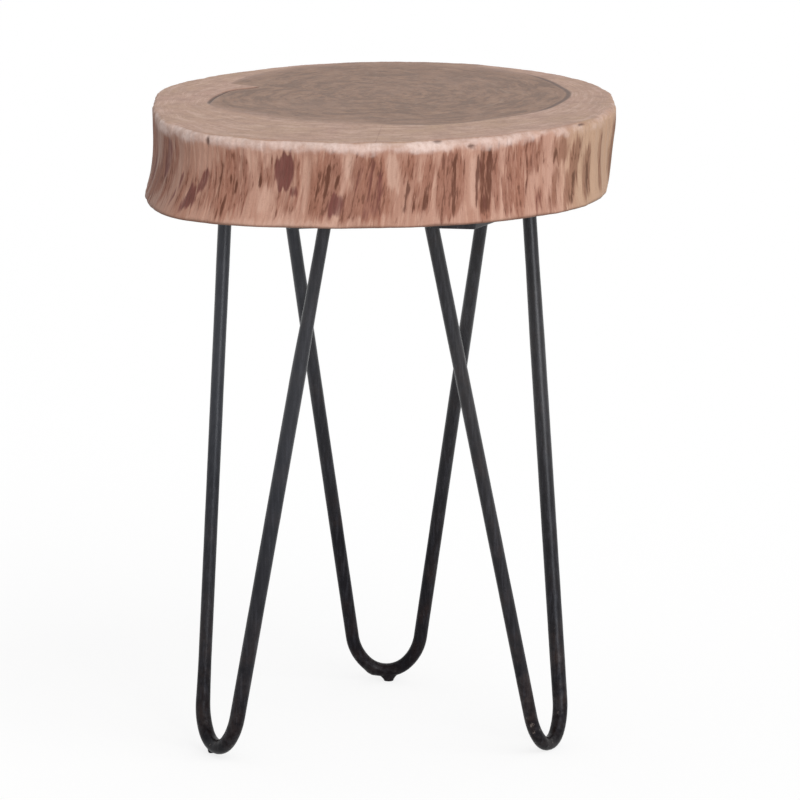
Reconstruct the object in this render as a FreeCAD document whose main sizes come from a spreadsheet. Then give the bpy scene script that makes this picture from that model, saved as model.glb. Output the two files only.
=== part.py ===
import FreeCAD, Part
import math
import os
import Sketcher

# Side table: a live-edge slice of trunk on three hairpin legs of bent round bar.
# Millimetres, +Z up. The origin is on the floor below the middle of the slab's box.

doc = FreeCAD.newDocument("SideTable")
sheet = doc.addObject("Spreadsheet::Sheet", "Sizes")

SIZES = {
    # overall
    "table_height": 550,
    "slab_thick": 70,
    "plate_thick": 7,
    # middle of the leg ring, which is also the slab's plan centre
    "hub_x": -1.3,
    "hub_y": -3.95,
    # slab: how the rim is drawn
    "pole_swell": 1.026,
    "seam_pull": 26,
    "waist_height": 35,
    "waist_share": 0.1,
    "arris_top": 6,
    "arris_low": 4,
    # round bar and its bend
    "rod_dia": 11.2,
    "rod_overrun": 4,
    "shoulder_radius": 43,
    "bend_half_angle": 45,
    "splay": 63.5,
    # each leg, bent by hand: turn, distance from the hub, slip along the ring, how far
    # its foot swings off its own middle, spacing of the raw bar ends, and tight radius
    "left_turn": 209.8,
    "left_ring": 101.5,
    "left_slip": -0.5,
    "left_sway": 6,
    "left_spacing": 175.5,
    "left_bend": 26.5,
    "left_foot_lift": 2.5,
    "right_turn": 331,
    "right_ring": 95.8,
    "right_slip": -0.1,
    "right_sway": 11,
    "right_spacing": 174,
    "right_bend": 21.5,
    "right_foot_lift": -0.3,
    "rear_turn": 90,
    "rear_ring": 86.8,
    "rear_slip": -5.1,
    "rear_sway": 0.5,
    "rear_spacing": 178,
    "rear_bend": 25.5,
    "rear_foot_lift": 4,
    # mounting plates, measured from the line of the rods, and how far each was set off it
    "plate_half_length": 118,
    "plate_half_shoulder": 107,
    "plate_outer": 53,
    "plate_inner": 21,
    "plate_clip": 28,
    "plate_corner": 2.5,
    "left_plate_set": -9,
    "right_plate_set": 0,
    "rear_plate_set": 0,
    # welds
    "weld_leg": 6,
    "weld_foot_radius": 10.5,
    "weld_toe_radius": 7.2,
    # blobs under two of the bends
    "left_nub_side": -10.5,
    "left_nub_flat": 2.2,
    "left_nub_long": 4,
    "left_nub_wide": 3.4,
    "left_nub_height": 8,
    "rear_nub_side": -2.2,
    "rear_nub_flat": 3.9,
    "rear_nub_long": 8.5,
    "rear_nub_wide": 4.4,
    "rear_nub_height": 6.5,
    # wood screws
    "screw_dia": 4.5,
    "screw_length": 40,
    "screw_point": 7,
    "screw_head_dia": 9,
    "screw_head_rim": 1.2,
    "screw_head_height": 3.2,
    "plate_hole_dia": 5.5,
    "pilot_dia": 4.6,
    "pilot_depth": 34,
    "screw_outer_x": 38,
    "screw_outer_y": 94,
    "screw_inner_x": -7,
    "screw_inner_y": 104,
}

# Rim of the slab by compass point, seen from above with the front to the south:
# distance from the plan centre just below the top arris, then just above the low one.
POINTS = ["e", "ene", "ne", "nne", "n", "nnw", "nw", "wnw",
          "w", "wsw", "sw", "ssw", "s", "sse", "se", "ese"]
RIM = {
    "e": (200, 192.5),
    "ene": (208, 199),
    "ne": (208.5, 204),
    "nne": (211, 208),
    "n": (208, 206),
    "nnw": (200.5, 202),
    "nw": (194, 197),
    "wnw": (205.4, 203),
    "w": (193, 197.5),
    "wsw": (201, 216),
    "sw": (214, 242),
    "ssw": (199, 211),
    "s": (195, 197),
    "sse": (187, 196),
    "se": (189, 199.5),
    "ese": (201, 204),
}
for point, (upper, lower) in RIM.items():
    SIZES["upper_" + point] = upper
    SIZES["lower_" + point] = lower

for row, (name, value) in enumerate(SIZES.items(), start=1):
    sheet.set("A%d" % row, name)
    sheet.set("B%d" % row, str(value))
    sheet.setAlias("B%d" % row, name)
doc.recompute()


def size(name):
    return float(sheet.get(name))


def origin_plane(body, role):
    return [item for item in body.Origin.OriginFeatures if item.Role == role][0]


def new_sketch(body, name, role="XY_Plane", offset=None):
    """A sketch on one of the body's own planes; offset is an expression for its placement."""
    sketch = body.newObject("Sketcher::SketchObject", name)
    sketch.AttachmentSupport = [(origin_plane(body, role), "")]
    sketch.MapMode = "FlatFace"
    if offset:
        sketch.setExpression("AttachmentOffset", offset)
    return sketch


def raised(height):
    return "placement(vector(0; 0; %s); rotation(0; 0; 0))" % height


def pin(sketch, geometry, vertex, x, y):
    """Hold a point, drawn near its place, at expressions from the sketch's origin."""
    drawn = sketch.getPoint(geometry, vertex)
    for kind, rule, start in (("DistanceX", x, drawn.x), ("DistanceY", y, drawn.y)):
        index = sketch.addConstraint(Sketcher.Constraint(kind, -1, 1, geometry, vertex, start))
        sketch.setExpression("Constraints[%d]" % index, rule)


def radius(sketch, geometry, rule, start):
    index = sketch.addConstraint(Sketcher.Constraint("Radius", geometry, start))
    sketch.setExpression("Constraints[%d]" % index, rule)


def closed_outline(sketch, corners):
    """Straight lines through corners, each a pair of expressions and a first guess."""
    guesses = [FreeCAD.Vector(guess[0], guess[1], 0) for _, _, guess in corners]
    count = len(corners)
    for i in range(count):
        sketch.addGeometry(Part.LineSegment(guesses[i], guesses[(i + 1) % count]), False)
    for i in range(count):
        sketch.addConstraint(Sketcher.Constraint("Coincident", i, 2, (i + 1) % count, 1))
    for i, (x, y, _) in enumerate(corners):
        pin(sketch, i, 1, x, y)


def circle(sketch, x, y, diameter, guess):
    index = sketch.addGeometry(
        Part.Circle(FreeCAD.Vector(guess[0], guess[1], 0), FreeCAD.Vector(0, 0, 1), guess[2]), False)
    pin(sketch, index, 3, x, y)
    radius(sketch, index, "%s / 2" % diameter, guess[2])


def volume_drops(before, feature):
    doc.recompute()
    assert feature.Shape.Volume < before - 0.01, feature.Name + " cuts nothing"


LEGS = ("left", "right", "rear")
ROD_TOP = "(Sizes.table_height - Sizes.slab_thick - Sizes.plate_thick)"
rod_top = size("table_height") - size("slab_thick") - size("plate_thick")


def on_leg(leg, outward, along, from_hub=False):
    """Expressions for a place on a leg: outward from its rods, and along their line."""
    turn = "(Sizes.%s_turn * 1 deg)" % leg
    out = "(Sizes.%s_ring + %s)" % (leg, outward)
    side = "(Sizes.%s_slip + %s)" % (leg, along)
    x = "%s * cos(%s) - %s * sin(%s)" % (out, turn, side, turn)
    y = "%s * sin(%s) + %s * cos(%s)" % (out, turn, side, turn)
    if from_hub:
        return x, y
    return "Sizes.hub_x + " + x, "Sizes.hub_y + " + y


def on_plate(leg, outward):
    """How far out from the rods a place on the leg's plate is."""
    return "(Sizes.%s_plate_set + %s)" % (leg, outward)


def stand_on_leg(item, leg, outward="0", along="0", height="0"):
    x, y = on_leg(leg, outward, along)
    item.setExpression("Placement", "placement(vector(%s; %s; %s); rotation(Sizes.%s_turn; 0; 0))"
                       % (x, y, height, leg))


SCREW_PLACES = [
    ("Sizes.screw_outer_x", "Sizes.screw_outer_y"),
    ("Sizes.screw_outer_x", "-Sizes.screw_outer_y"),
    ("Sizes.screw_inner_x", "Sizes.screw_inner_y"),
    ("Sizes.screw_inner_x", "-Sizes.screw_inner_y"),
]


def rim_level(body, name, height, radius_rule, guess):
    """One closed outline of the slab: two spline halves that meet square to the east-west line."""
    sketch = new_sketch(body, name, offset=raised(height))
    swell = size("pole_swell")
    pull = size("seam_pull")
    for half in (0, 1):
        stations = [(half * 8 + step) % 16 for step in range(9)]
        lean = 1 if half == 0 else -1
        poles = []

        def seam(station, lift):
            way = 1 if station == 0 else -1
            rule = radius_rule(POINTS[station])
            poles.append((FreeCAD.Vector(way * guess(POINTS[station]), lift * pull, 0),
                          "%d * %s" % (way, rule), "%d * Sizes.seam_pull" % lift))

        seam(stations[0], 0)
        seam(stations[0], lean)
        for station in stations[1:-1]:
            angle = 22.5 * station
            rule = radius_rule(POINTS[station]) + " * Sizes.pole_swell"
            reach = guess(POINTS[station]) * swell
            poles.append((FreeCAD.Vector(reach * math.cos(math.radians(angle)),
                                         reach * math.sin(math.radians(angle)), 0),
                          "%s * cos(%g deg)" % (rule, angle), "%s * sin(%g deg)" % (rule, angle)))
        seam(stations[-1], lean)
        seam(stations[-1], 0)

        count = len(poles)
        curve = Part.BSplineCurve()
        curve.buildFromPolesMultsKnots([pole[0] for pole in poles],
                                       [4] + [1] * (count - 4) + [4], list(range(count - 2)), False, 3)
        spline = sketch.addGeometry(curve, False)
        first = sketch.GeometryCount
        sketch.exposeInternalGeometry(spline)
        handles = [i for i in range(first, sketch.GeometryCount)
                   if isinstance(sketch.Geometry[i], Part.Circle)]
        for handle, (_, x, y) in zip(handles, poles):
            pin(sketch, handle, 3, x, y)
    return sketch


def build_slab():
    """The slice of trunk: lofted down through three outlines, arrises eased, screw pilots drilled."""
    body = doc.addObject("PartDesign::Body", "Slab")
    body.Label = "top_slab"

    def upper(point):
        return "Sizes.upper_" + point

    def lower(point):
        return "Sizes.lower_" + point

    def waist(point):
        return "(Sizes.upper_%s + (Sizes.lower_%s - Sizes.upper_%s) * Sizes.waist_share)" % (
            point, point, point)

    levels = [
        rim_level(body, "RimTop", "Sizes.slab_thick", upper, lambda p: RIM[p][0]),
        rim_level(body, "RimWaist", "Sizes.waist_height", waist,
                  lambda p: RIM[p][0] + (RIM[p][1] - RIM[p][0]) * size("waist_share")),
        rim_level(body, "RimLow", "0", lower, lambda p: RIM[p][1]),
    ]
    loft = body.newObject("PartDesign::AdditiveLoft", "Trunk")
    loft.Profile = levels[0]
    loft.Sections = levels[1:]
    doc.recompute()

    thick = size("slab_thick")
    base = loft
    for name, height, rule in (("TopArris", thick, "Sizes.arris_top"), ("LowArris", 0, "Sizes.arris_low")):
        rim = ["Edge%d" % (i + 1) for i, edge in enumerate(base.Shape.Edges)
               if abs(edge.BoundBox.ZMin - height) < 0.01 and abs(edge.BoundBox.ZMax - height) < 0.01]
        fillet = body.newObject("PartDesign::Fillet", name)
        fillet.Base = (base, rim)
        fillet.Radius = 2
        fillet.setExpression("Radius", rule)
        volume_drops(base.Shape.Volume, fillet)
        base = fillet

    pilots = new_sketch(body, "PilotPlan")
    for leg in LEGS:
        turn = math.radians(size(leg + "_turn"))
        for outward, along in SCREW_PLACES:
            x, y = on_leg(leg, on_plate(leg, outward), along, from_hub=True)
            near = (100 * math.cos(turn), 100 * math.sin(turn), 2.3)
            circle(pilots, x, y, "Sizes.pilot_dia", near)
    doc.recompute()
    drill = body.newObject("PartDesign::Pocket", "Pilots")
    drill.Profile = pilots
    drill.Reversed = True
    drill.setExpression("Length", "Sizes.pilot_depth")
    volume_drops(base.Shape.Volume, drill)

    body.setExpression("Placement", "placement(vector(Sizes.hub_x; Sizes.hub_y; "
                       "Sizes.table_height - Sizes.slab_thick); rotation(0; 0; 0))")
    return body


def touching_point(start, centre, reach, way):
    """Where a straight run from start meets an arc, on the outer side."""
    gap = centre - start
    distance = gap.Length
    run = math.sqrt(distance ** 2 - reach ** 2)
    heading = math.atan2(gap.y, gap.x)
    swing = math.asin(reach / distance)
    ends = [start + FreeCAD.Vector(math.cos(heading + s * swing), math.sin(heading + s * swing), 0) * run
            for s in (1, -1)]
    return max(ends, key=lambda end: way * end.x)


def build_rod(leg):
    """One hairpin: two straight runs into a three-centred bend, swept as round bar in a
    plane that leans out at the foot, then cut level under the plate."""
    body = doc.addObject("PartDesign::Body", leg.capitalize() + "Rod")
    body.Label = leg + "_hairpin_rod"
    axis_low = "(Sizes.rod_dia / 2 + Sizes.%s_foot_lift)" % leg
    drop = "(%s - %s)" % (ROD_TOP, axis_low)
    slant = "sqrt(%s^2 + Sizes.splay^2)" % drop
    spine = new_sketch(body, leg.capitalize() + "Spine", "YZ_Plane",
                       "placement(vector(0; %s; 0); rotation(vector(1; 0; 0); -atan(Sizes.splay / %s)))"
                       % (ROD_TOP, drop))

    rise = rod_top - size("rod_dia") / 2 - size(leg + "_foot_lift")
    length = math.hypot(rise, size("splay"))
    tight = size(leg + "_bend")
    wide = size("shoulder_radius")
    half = math.radians(size("bend_half_angle"))
    middle = FreeCAD.Vector(size(leg + "_sway"), tight - length, 0)
    up = FreeCAD.Vector(0, 0, 1)
    turn = [FreeCAD.Vector(way * math.sin(half), -math.cos(half), 0) for way in (-1, 1)]
    ends = [middle + side * tight for side in turn]
    hubs = [middle - side * (wide - tight) for side in turn]
    tops = [FreeCAD.Vector(way * size(leg + "_spacing") / 2, size("rod_overrun"), 0) for way in (-1, 1)]
    meets = [touching_point(tops[i], hubs[i], wide, (-1, 1)[i]) for i in (0, 1)]

    def arc(hub, reach, begin, end):
        a = math.atan2(begin.y - hub.y, begin.x - hub.x)
        b = math.atan2(end.y - hub.y, end.x - hub.x)
        if b < a:
            b += 2 * math.pi
        return Part.ArcOfCircle(Part.Circle(hub, up, reach), a, b)

    spine.addGeometry(Part.LineSegment(tops[0], meets[0]), False)
    spine.addGeometry(arc(hubs[0], wide, meets[0], ends[0]), False)
    spine.addGeometry(arc(middle, tight, ends[0], ends[1]), False)
    spine.addGeometry(arc(hubs[1], wide, ends[1], meets[1]), False)
    spine.addGeometry(Part.LineSegment(meets[1], tops[1]), False)
    for i in range(4):
        spine.addConstraint(Sketcher.Constraint("Tangent", i, 2, i + 1, 1))
    sway = "Sizes.%s_sway" % leg
    bend = "Sizes.%s_bend" % leg
    pin(spine, 2, 3, sway, "%s - %s" % (bend, slant))
    radius(spine, 2, bend, tight)
    radius(spine, 1, "Sizes.shoulder_radius", wide)
    radius(spine, 3, "Sizes.shoulder_radius", wide)
    across = "%s * sin(Sizes.bend_half_angle * 1 deg)" % bend
    for vertex, rule in ((1, "%s - %s" % (sway, across)), (2, "%s + %s" % (sway, across))):
        start = spine.getPoint(2, vertex).x
        index = spine.addConstraint(Sketcher.Constraint("DistanceX", -1, 1, 2, vertex, start))
        spine.setExpression("Constraints[%d]" % index, rule)
    pin(spine, 0, 1, "-Sizes.%s_spacing / 2" % leg, "Sizes.rod_overrun")
    pin(spine, 4, 2, "Sizes.%s_spacing / 2" % leg, "Sizes.rod_overrun")
    doc.recompute()

    section = body.newObject("Sketcher::SketchObject", leg.capitalize() + "Section")
    section.AttachmentSupport = [(spine, "Edge1")]
    section.MapMode = "NormalToEdge"
    section.MapPathParameter = 0.0
    circle(section, "0", "0", "Sizes.rod_dia", (0, 0, 5.6))
    doc.recompute()
    pipe = body.newObject("PartDesign::AdditivePipe", leg.capitalize() + "Bar")
    pipe.Profile = section
    pipe.Spine = (spine, ["Edge1", "Edge2", "Edge3", "Edge4", "Edge5"])
    doc.recompute()

    def level_cut(name, height, upwards):
        plan = new_sketch(body, name + "Plan", offset=raised(height))
        corners = [(-200, -200), (200, -200), (200, 200), (-200, 200)]
        closed_outline(plan, [(str(x), str(y), (x, y)) for x, y in corners])
        doc.recompute()
        before = body.Shape.Volume
        cut = body.newObject("PartDesign::Pocket", name)
        cut.Profile = plan
        cut.Type = "ThroughAll"
        cut.Reversed = upwards
        volume_drops(before, cut)

    level_cut(leg.capitalize() + "TopCut", ROD_TOP, True)
    if size(leg + "_foot_lift") < 0:
        level_cut(leg.capitalize() + "GroundFlat", "0", False)
    stand_on_leg(body, leg)
    return body


def build_plate(leg):
    """Flat steel plate with clipped corners and four screw holes."""
    body = doc.addObject("PartDesign::Body", leg.capitalize() + "Plate")
    body.Label = leg + "_mounting_plate"
    plan = new_sketch(body, leg.capitalize() + "PlatePlan", offset=raised(ROD_TOP))
    out, inn = "Sizes.plate_outer", "-Sizes.plate_inner"
    out_clip, inn_clip = "Sizes.plate_outer - Sizes.plate_clip", "Sizes.plate_clip - Sizes.plate_inner"
    end, shoulder = "Sizes.plate_half_length", "Sizes.plate_half_shoulder"
    closed_outline(plan, [
        (out, "-" + shoulder, (53, -107)),
        (out, shoulder, (53, 107)),
        (out_clip, end, (25, 118)),
        (inn_clip, end, (7, 118)),
        (inn, shoulder, (-21, 107)),
        (inn, "-" + shoulder, (-21, -107)),
        (inn_clip, "-" + end, (7, -118)),
        (out_clip, "-" + end, (25, -118)),
    ])
    for outward, along in SCREW_PLACES:
        near = (20, -90 if along.startswith("-") else 90, 2.7)
        circle(plan, outward, along, "Sizes.plate_hole_dia", near)
    doc.recompute()
    pad = body.newObject("PartDesign::Pad", leg.capitalize() + "PlatePad")
    pad.Profile = plan
    pad.setExpression("Length", "Sizes.plate_thick")
    doc.recompute()
    upright = ["Edge%d" % (i + 1) for i, edge in enumerate(pad.Shape.Edges)
               if isinstance(edge.Curve, Part.Line) and abs(edge.tangentAt(edge.FirstParameter).z) > 0.99
               and len(edge.Vertexes) == 2 and edge.CenterOfMass.sub(pad.Shape.CenterOfMass).Length > 50
               and all(not isinstance(face.Surface, Part.Cylinder)
                       for face in pad.Shape.ancestorsOfType(edge, Part.Face))]
    fillet = body.newObject("PartDesign::Fillet", leg.capitalize() + "PlateCorners")
    fillet.Base = (pad, upright)
    fillet.Radius = 1
    fillet.setExpression("Radius", "Sizes.plate_corner")
    volume_drops(pad.Shape.Volume, fillet)
    stand_on_leg(body, leg, "Sizes.%s_plate_set" % leg)
    return body


def build_weld(leg, label, way, rod):
    """Weld collar: a cone against the plate, fitted to the slanting bar."""
    name = label.title().replace("_", "")
    blank = doc.addObject("Part::Cone", name + "Blank")
    blank.setExpression("Radius1", "Sizes.weld_toe_radius")
    blank.setExpression("Radius2", "Sizes.weld_foot_radius")
    blank.setExpression("Height", "Sizes.weld_leg")
    # the bars lean in towards the foot, so the collar is centred on the bar at the plate
    reach = "(%d) * (Sizes.%s_spacing / 2 - Sizes.rod_overrun * 0.15)" % (way, leg)
    stand_on_leg(blank, leg, "0", reach, "%s - Sizes.weld_leg" % ROD_TOP)
    collar = doc.addObject("Part::Cut", name)
    collar.Base = blank
    collar.Tool = rod
    collar.Label = label
    return collar


def build_nub(leg, rod):
    """Blob of metal under a bend: a small flat that swells into the bar."""
    name = leg.capitalize() + "Nub"
    blank = doc.addObject("PartDesign::Body", name + "Blank")
    low = new_sketch(blank, name + "Flat")
    circle(low, "0", "0", "Sizes.%s_nub_flat * 2" % leg, (0, 0, size(leg + "_nub_flat")))
    high = new_sketch(blank, name + "Root", offset=raised("Sizes.%s_nub_height" % leg))
    long, wide = size(leg + "_nub_long"), size(leg + "_nub_wide")
    oval = Part.Ellipse(FreeCAD.Vector(0, long, 0), FreeCAD.Vector(-wide, 0, 0), FreeCAD.Vector(0, 0, 0))
    high.addGeometry(oval, False)
    high.exposeInternalGeometry(0)
    high.addConstraint(Sketcher.Constraint("Coincident", 0, 3, -1, 1))
    high.addConstraint(Sketcher.Constraint("Vertical", 1))
    for line, cell in ((1, "long"), (2, "wide")):
        index = high.addConstraint(Sketcher.Constraint("Distance", line, 2 * size("%s_nub_%s" % (leg, cell))))
        high.setExpression("Constraints[%d]" % index, "2 * Sizes.%s_nub_%s" % (leg, cell))
    doc.recompute()
    loft = blank.newObject("PartDesign::AdditiveLoft", name + "Swell")
    loft.Profile = high
    loft.Sections = [low]
    stand_on_leg(blank, leg, "Sizes.splay", "Sizes.%s_sway + Sizes.%s_nub_side" % (leg, leg))
    doc.recompute()
    nub = doc.addObject("Part::Cut", name)
    nub.Base = blank
    nub.Tool = rod
    nub.Label = leg + "_foot_nub"
    return nub


def build_screw(leg, number, outward, along):
    """Pan-head wood screw, turned, seated under the plate."""
    name = "%sScrew%d" % (leg.capitalize(), number)
    body = doc.addObject("PartDesign::Body", name)
    body.Label = "%s_plate_screw_%d" % (leg, number)
    profile = new_sketch(body, name + "Profile", "XZ_Plane")
    shank, head = "Sizes.screw_dia / 2", "Sizes.screw_head_dia / 2"
    closed_outline(profile, [
        ("0", "-Sizes.screw_head_height", (0, -3.2)),
        ("Sizes.screw_head_dia * 0.32", "-Sizes.screw_head_height * 0.93", (2.9, -3)),
        ("Sizes.screw_head_dia * 0.45", "-Sizes.screw_head_height * 0.68", (4, -2.2)),
        (head, "-Sizes.screw_head_rim", (4.5, -1.2)),
        (head, "0", (4.5, 0)),
        (shank, "0", (2.25, 0)),
        (shank, "Sizes.screw_length - Sizes.screw_point", (2.25, 33)),
        ("0", "Sizes.screw_length", (0, 40)),
    ])
    doc.recompute()
    turned = body.newObject("PartDesign::Revolution", name + "Turned")
    turned.Profile = profile
    turned.ReferenceAxis = (profile, ["V_Axis"])
    turned.Angle = 360
    stand_on_leg(body, leg, on_plate(leg, outward), along, ROD_TOP)
    return body


WELDS = [
    ("left", "left_front_weld", 1),
    ("left", "left_back_weld", -1),
    ("right", "right_front_weld", -1),
    ("right", "right_back_weld", 1),
    ("rear", "rear_left_weld", 1),
    ("rear", "rear_right_weld", -1),
]

pieces = [build_slab()]
rods = {leg: build_rod(leg) for leg in LEGS}
pieces += rods.values()
pieces += [build_plate(leg) for leg in LEGS]
pieces += [build_weld(leg, label, way, rods[leg]) for leg, label, way in WELDS]
pieces += [build_nub(leg, rods[leg]) for leg in ("left", "rear")]
for leg in LEGS:
    for number, (outward, along) in enumerate(SCREW_PLACES, start=1):
        pieces.append(build_screw(leg, number, outward, along))
doc.recompute()

for item in doc.Objects:
    assert "Invalid" not in item.State and "Error" not in item.State, (item.Name, item.State)
for piece in pieces:
    assert not piece.Shape.isNull() and piece.Shape.isValid(), piece.Label
    assert len(piece.Shape.Solids) == 1, piece.Label

os.makedirs("parts", exist_ok=True)
for piece in pieces:
    piece.Shape.exportStep("parts/%s.step" % piece.Label)

box = None
for piece in pieces:
    part_box = piece.Shape.optimalBoundingBox()
    box = part_box if box is None else box.united(part_box)
    print("%-26s volume %10.1f" % (piece.Label, piece.Shape.Volume))
print("box", box)
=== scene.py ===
"""Side table: a live-edge wood slice carried on three black hairpin legs."""

import math
from collections import namedtuple

import bpy
import numpy as np
from bpy.props import FloatProperty, FloatVectorProperty, IntProperty, PointerProperty
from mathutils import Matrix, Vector
from mathutils.bvhtree import BVHTree


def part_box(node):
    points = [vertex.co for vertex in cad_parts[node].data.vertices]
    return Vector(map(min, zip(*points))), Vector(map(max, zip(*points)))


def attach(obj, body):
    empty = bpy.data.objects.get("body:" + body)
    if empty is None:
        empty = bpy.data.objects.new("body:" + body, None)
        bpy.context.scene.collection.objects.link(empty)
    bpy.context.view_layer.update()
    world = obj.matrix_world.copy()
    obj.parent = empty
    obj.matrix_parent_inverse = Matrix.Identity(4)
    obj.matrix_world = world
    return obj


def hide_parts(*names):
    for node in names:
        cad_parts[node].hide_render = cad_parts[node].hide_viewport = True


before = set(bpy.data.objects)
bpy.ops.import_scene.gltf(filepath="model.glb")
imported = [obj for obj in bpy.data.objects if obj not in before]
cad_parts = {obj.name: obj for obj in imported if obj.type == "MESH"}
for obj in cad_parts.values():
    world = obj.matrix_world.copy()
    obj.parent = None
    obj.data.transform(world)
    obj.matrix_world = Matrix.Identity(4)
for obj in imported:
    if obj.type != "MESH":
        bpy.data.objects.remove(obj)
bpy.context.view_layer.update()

bl_info = {
    "name": "Hairpin Side Table",
    "version": (1, 0, 0),
    "blender": (4, 5, 0),
    "location": "View3D > Sidebar > Side Table",
    "description": "Builds a live-edge wood slice on three black hairpin legs",
    "category": "Object",
}

MM = 0.001
BODY = "root"

# The three legs, each laid out on its plate: out is away from the middle of the table,
# along is sideways. Lengths in millimetres, turns in degrees. The girth says how thick each
# arm's bar and paint look near the plate, below that and near the bend, as a share.
Leg = namedtuple("Leg", "name turn ring slip sway spacing bend foot_lift plate_set girth")
LEFT_GIRTH = ((1.04, 1.01, 1.16), (0.98, 1.16, 1.16))
RIGHT_GIRTH = ((1.08, 1.05, 1.02), (1.08, 1.17, 1.14))
REAR_GIRTH = ((1.0, 1.06, 1.06), (1.0, 1.05, 1.05))
LEFT = Leg("left", 209.8, 101.5, -0.5, 6.0, 175.5, 26.5, 2.5, -9.0, LEFT_GIRTH)
RIGHT = Leg("right", 331.0, 95.8, -0.1, 11.0, 174.0, 21.5, -0.3, 0.0, RIGHT_GIRTH)
REAR = Leg("rear", 90.0, 86.8, -5.1, 0.5, 178.0, 25.5, 4.0, 0.0, REAR_GIRTH)
LEGS = (LEFT, RIGHT, REAR)
HUB = (-1.3, -3.95)
PLATE_UNDERSIDE = 473.0
PLATE_THICK = 7.0
SPLAY = 63.5
BAR_DIAMETER = 11.2
BAR_OVERRUN = 4.0
SHOULDER_RADIUS = 43.0
BEND_HALF_ANGLE = 45.0
# How finely the bar's line is drawn: degrees to a step of a bend, steps to an arm.
BEND_STEP = 3.0
ARM_STEPS = 24
# Heights between which an arm's girth goes from one share to the next, millimetres.
GIRTH_CHANGE = (335.0, 410.0)
FOOT_GIRTH_CHANGE = (20.0, 75.0)
# A run of thick paint on one bend, and chips and rubbed places in the paint. Along is from
# the bend's middle; lengths in millimetres.
Run = namedtuple("Run", "leg along height reach rise")
PAINT_RUN = Run(REAR, 14.0, 6.8, 9.0, 1.3)
Chip = namedtuple("Chip", "leg along height reach strength")
PAINT_CHIPS = (
    Chip(RIGHT, -24.5, 29.0, 3.6, 0.9),
    Chip(RIGHT, -22.5, 22.0, 2.6, 0.8),
    Chip(RIGHT, -36.0, 102.0, 2.5, 0.6),
    Chip(LEFT, 31.0, 70.0, 2.0, 0.7),
)
# Spacing of the rings of the bar's skin, metres, and how many paint lumps go to a metre.
BAR_STEP = 0.0035
LUMPS_PER_METRE = 45.0

# The plate: half its length, half its length between the clipped corners, how far it
# reaches outwards and inwards, how far the clipped corners start inwards.
PLATE_HALF = 118.0
PLATE_SHOULDER = 107.0
PLATE_OUTER = 53.0
PLATE_INNER = 21.0
PLATE_CLIP = 28.0
PLATE_CORNER = 2.5
PLATE_HOLE = 5.5
HOLE_SIDES = 32

# Screws: places on the plate as (out, along), radii of head and shank, height of the domed
# head and of its rim, where the shank starts to taper, its length, the tip's height and its
# share of the shank's radius, how far the head is softened, the dome's rows as shares of it.
SCREW_PLACES = ((38.0, 94.0), (38.0, -94.0), (-7.0, 104.0), (-7.0, -104.0))
SCREW_HEAD = 4.5
SCREW_SHANK = 2.25
SCREW_HEAD_HEIGHT = 3.2
SCREW_RIM = 1.2
SCREW_TAPER = 33.0
SCREW_LENGTH = 40.0
SCREW_TIP = 2.5
SCREW_TIP_SHARE = 0.45
SCREW_SOFT = 0.2
DOME_SHARES = (1.0, 0.92, 0.8, 0.65, 0.45, 0.25, 0.0)
SCREW_SIDES = 28
SCREW_SEED = 3
# The cross recess: half its length and width, and its (level, share of length) pairs.
RECESS_LONG = 2.4
RECESS_WIDE = 0.5
RECESS_LEVELS = ((-5.0, 1.15), (-1.6, 0.55))

# Weld beads: how far the bead's middle is below the plate and outside the bar, as shares of
# its thickness, how deep its ripples are, and its steps around the bar and around itself.
BEAD_DROP = 0.42
BEAD_REACH = 0.36
BEAD_RIPPLE = 0.30
BEAD_PLACES = 48
BEAD_STEPS = 136
BEAD_SIDES = 12

# Blobs below the bends: aside from the bend's middle, radius of the flat foot, reach along
# to either side and out at the root, height, and how the sides run (below 1 they bulge).
Nub = namedtuple("Nub", "node leg side flat less more wide height flare")
NUBS = (
    Nub("left_foot_nub", LEFT, -8.6, 2.3, 4.6, 4.2, 3.6, 8.0, 0.6),
    Nub("rear_foot_nub", REAR, -2.0, 4.3, 9.5, 12.0, 4.8, 6.8, 1.5),
)
NUB_SIDES = 32
NUB_ROWS = 12
NUB_SEED = 5
NUB_BUMP = 0.05
# The foot's rounded rim: (share of the height, share of the foot's radius).
NUB_RIM = ((0.0, 0.86), (0.012, 0.96), (0.04, 1.0))

# The heartwood's edge as a reach from the pith, millimetres, by degrees from the right, with
# a notch that is steep on one side. The edge is blurred over so many steps of so many degrees.
PITH = (10.0, 35.0)
HEART_REACH = {
    2: 150, 16: 147, 31: 150, 60: 158, 90: 166, 115: 162, 126: 161, 145: 153, 178: 146,
    198: 165, 222: 149, 240: 144, 254: 139, 270: 145, 284: 150, 306: 143, 328: 147, 342: 146,
}
HEART_BLUR = 12
HEART_STEP = 0.5
HEART_LAP = 15.0
NOTCH_TURN = 162.0
NOTCH_DEPTH = 27.0
NOTCH_FRONT = 9.0
NOTCH_BACK = 1.4
LEAST_SAPWOOD = 4.0
# Direction from the pith of a hair check in the sapwood at the front.
FRONT_CHECK = (-0.064, -0.998)

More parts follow.
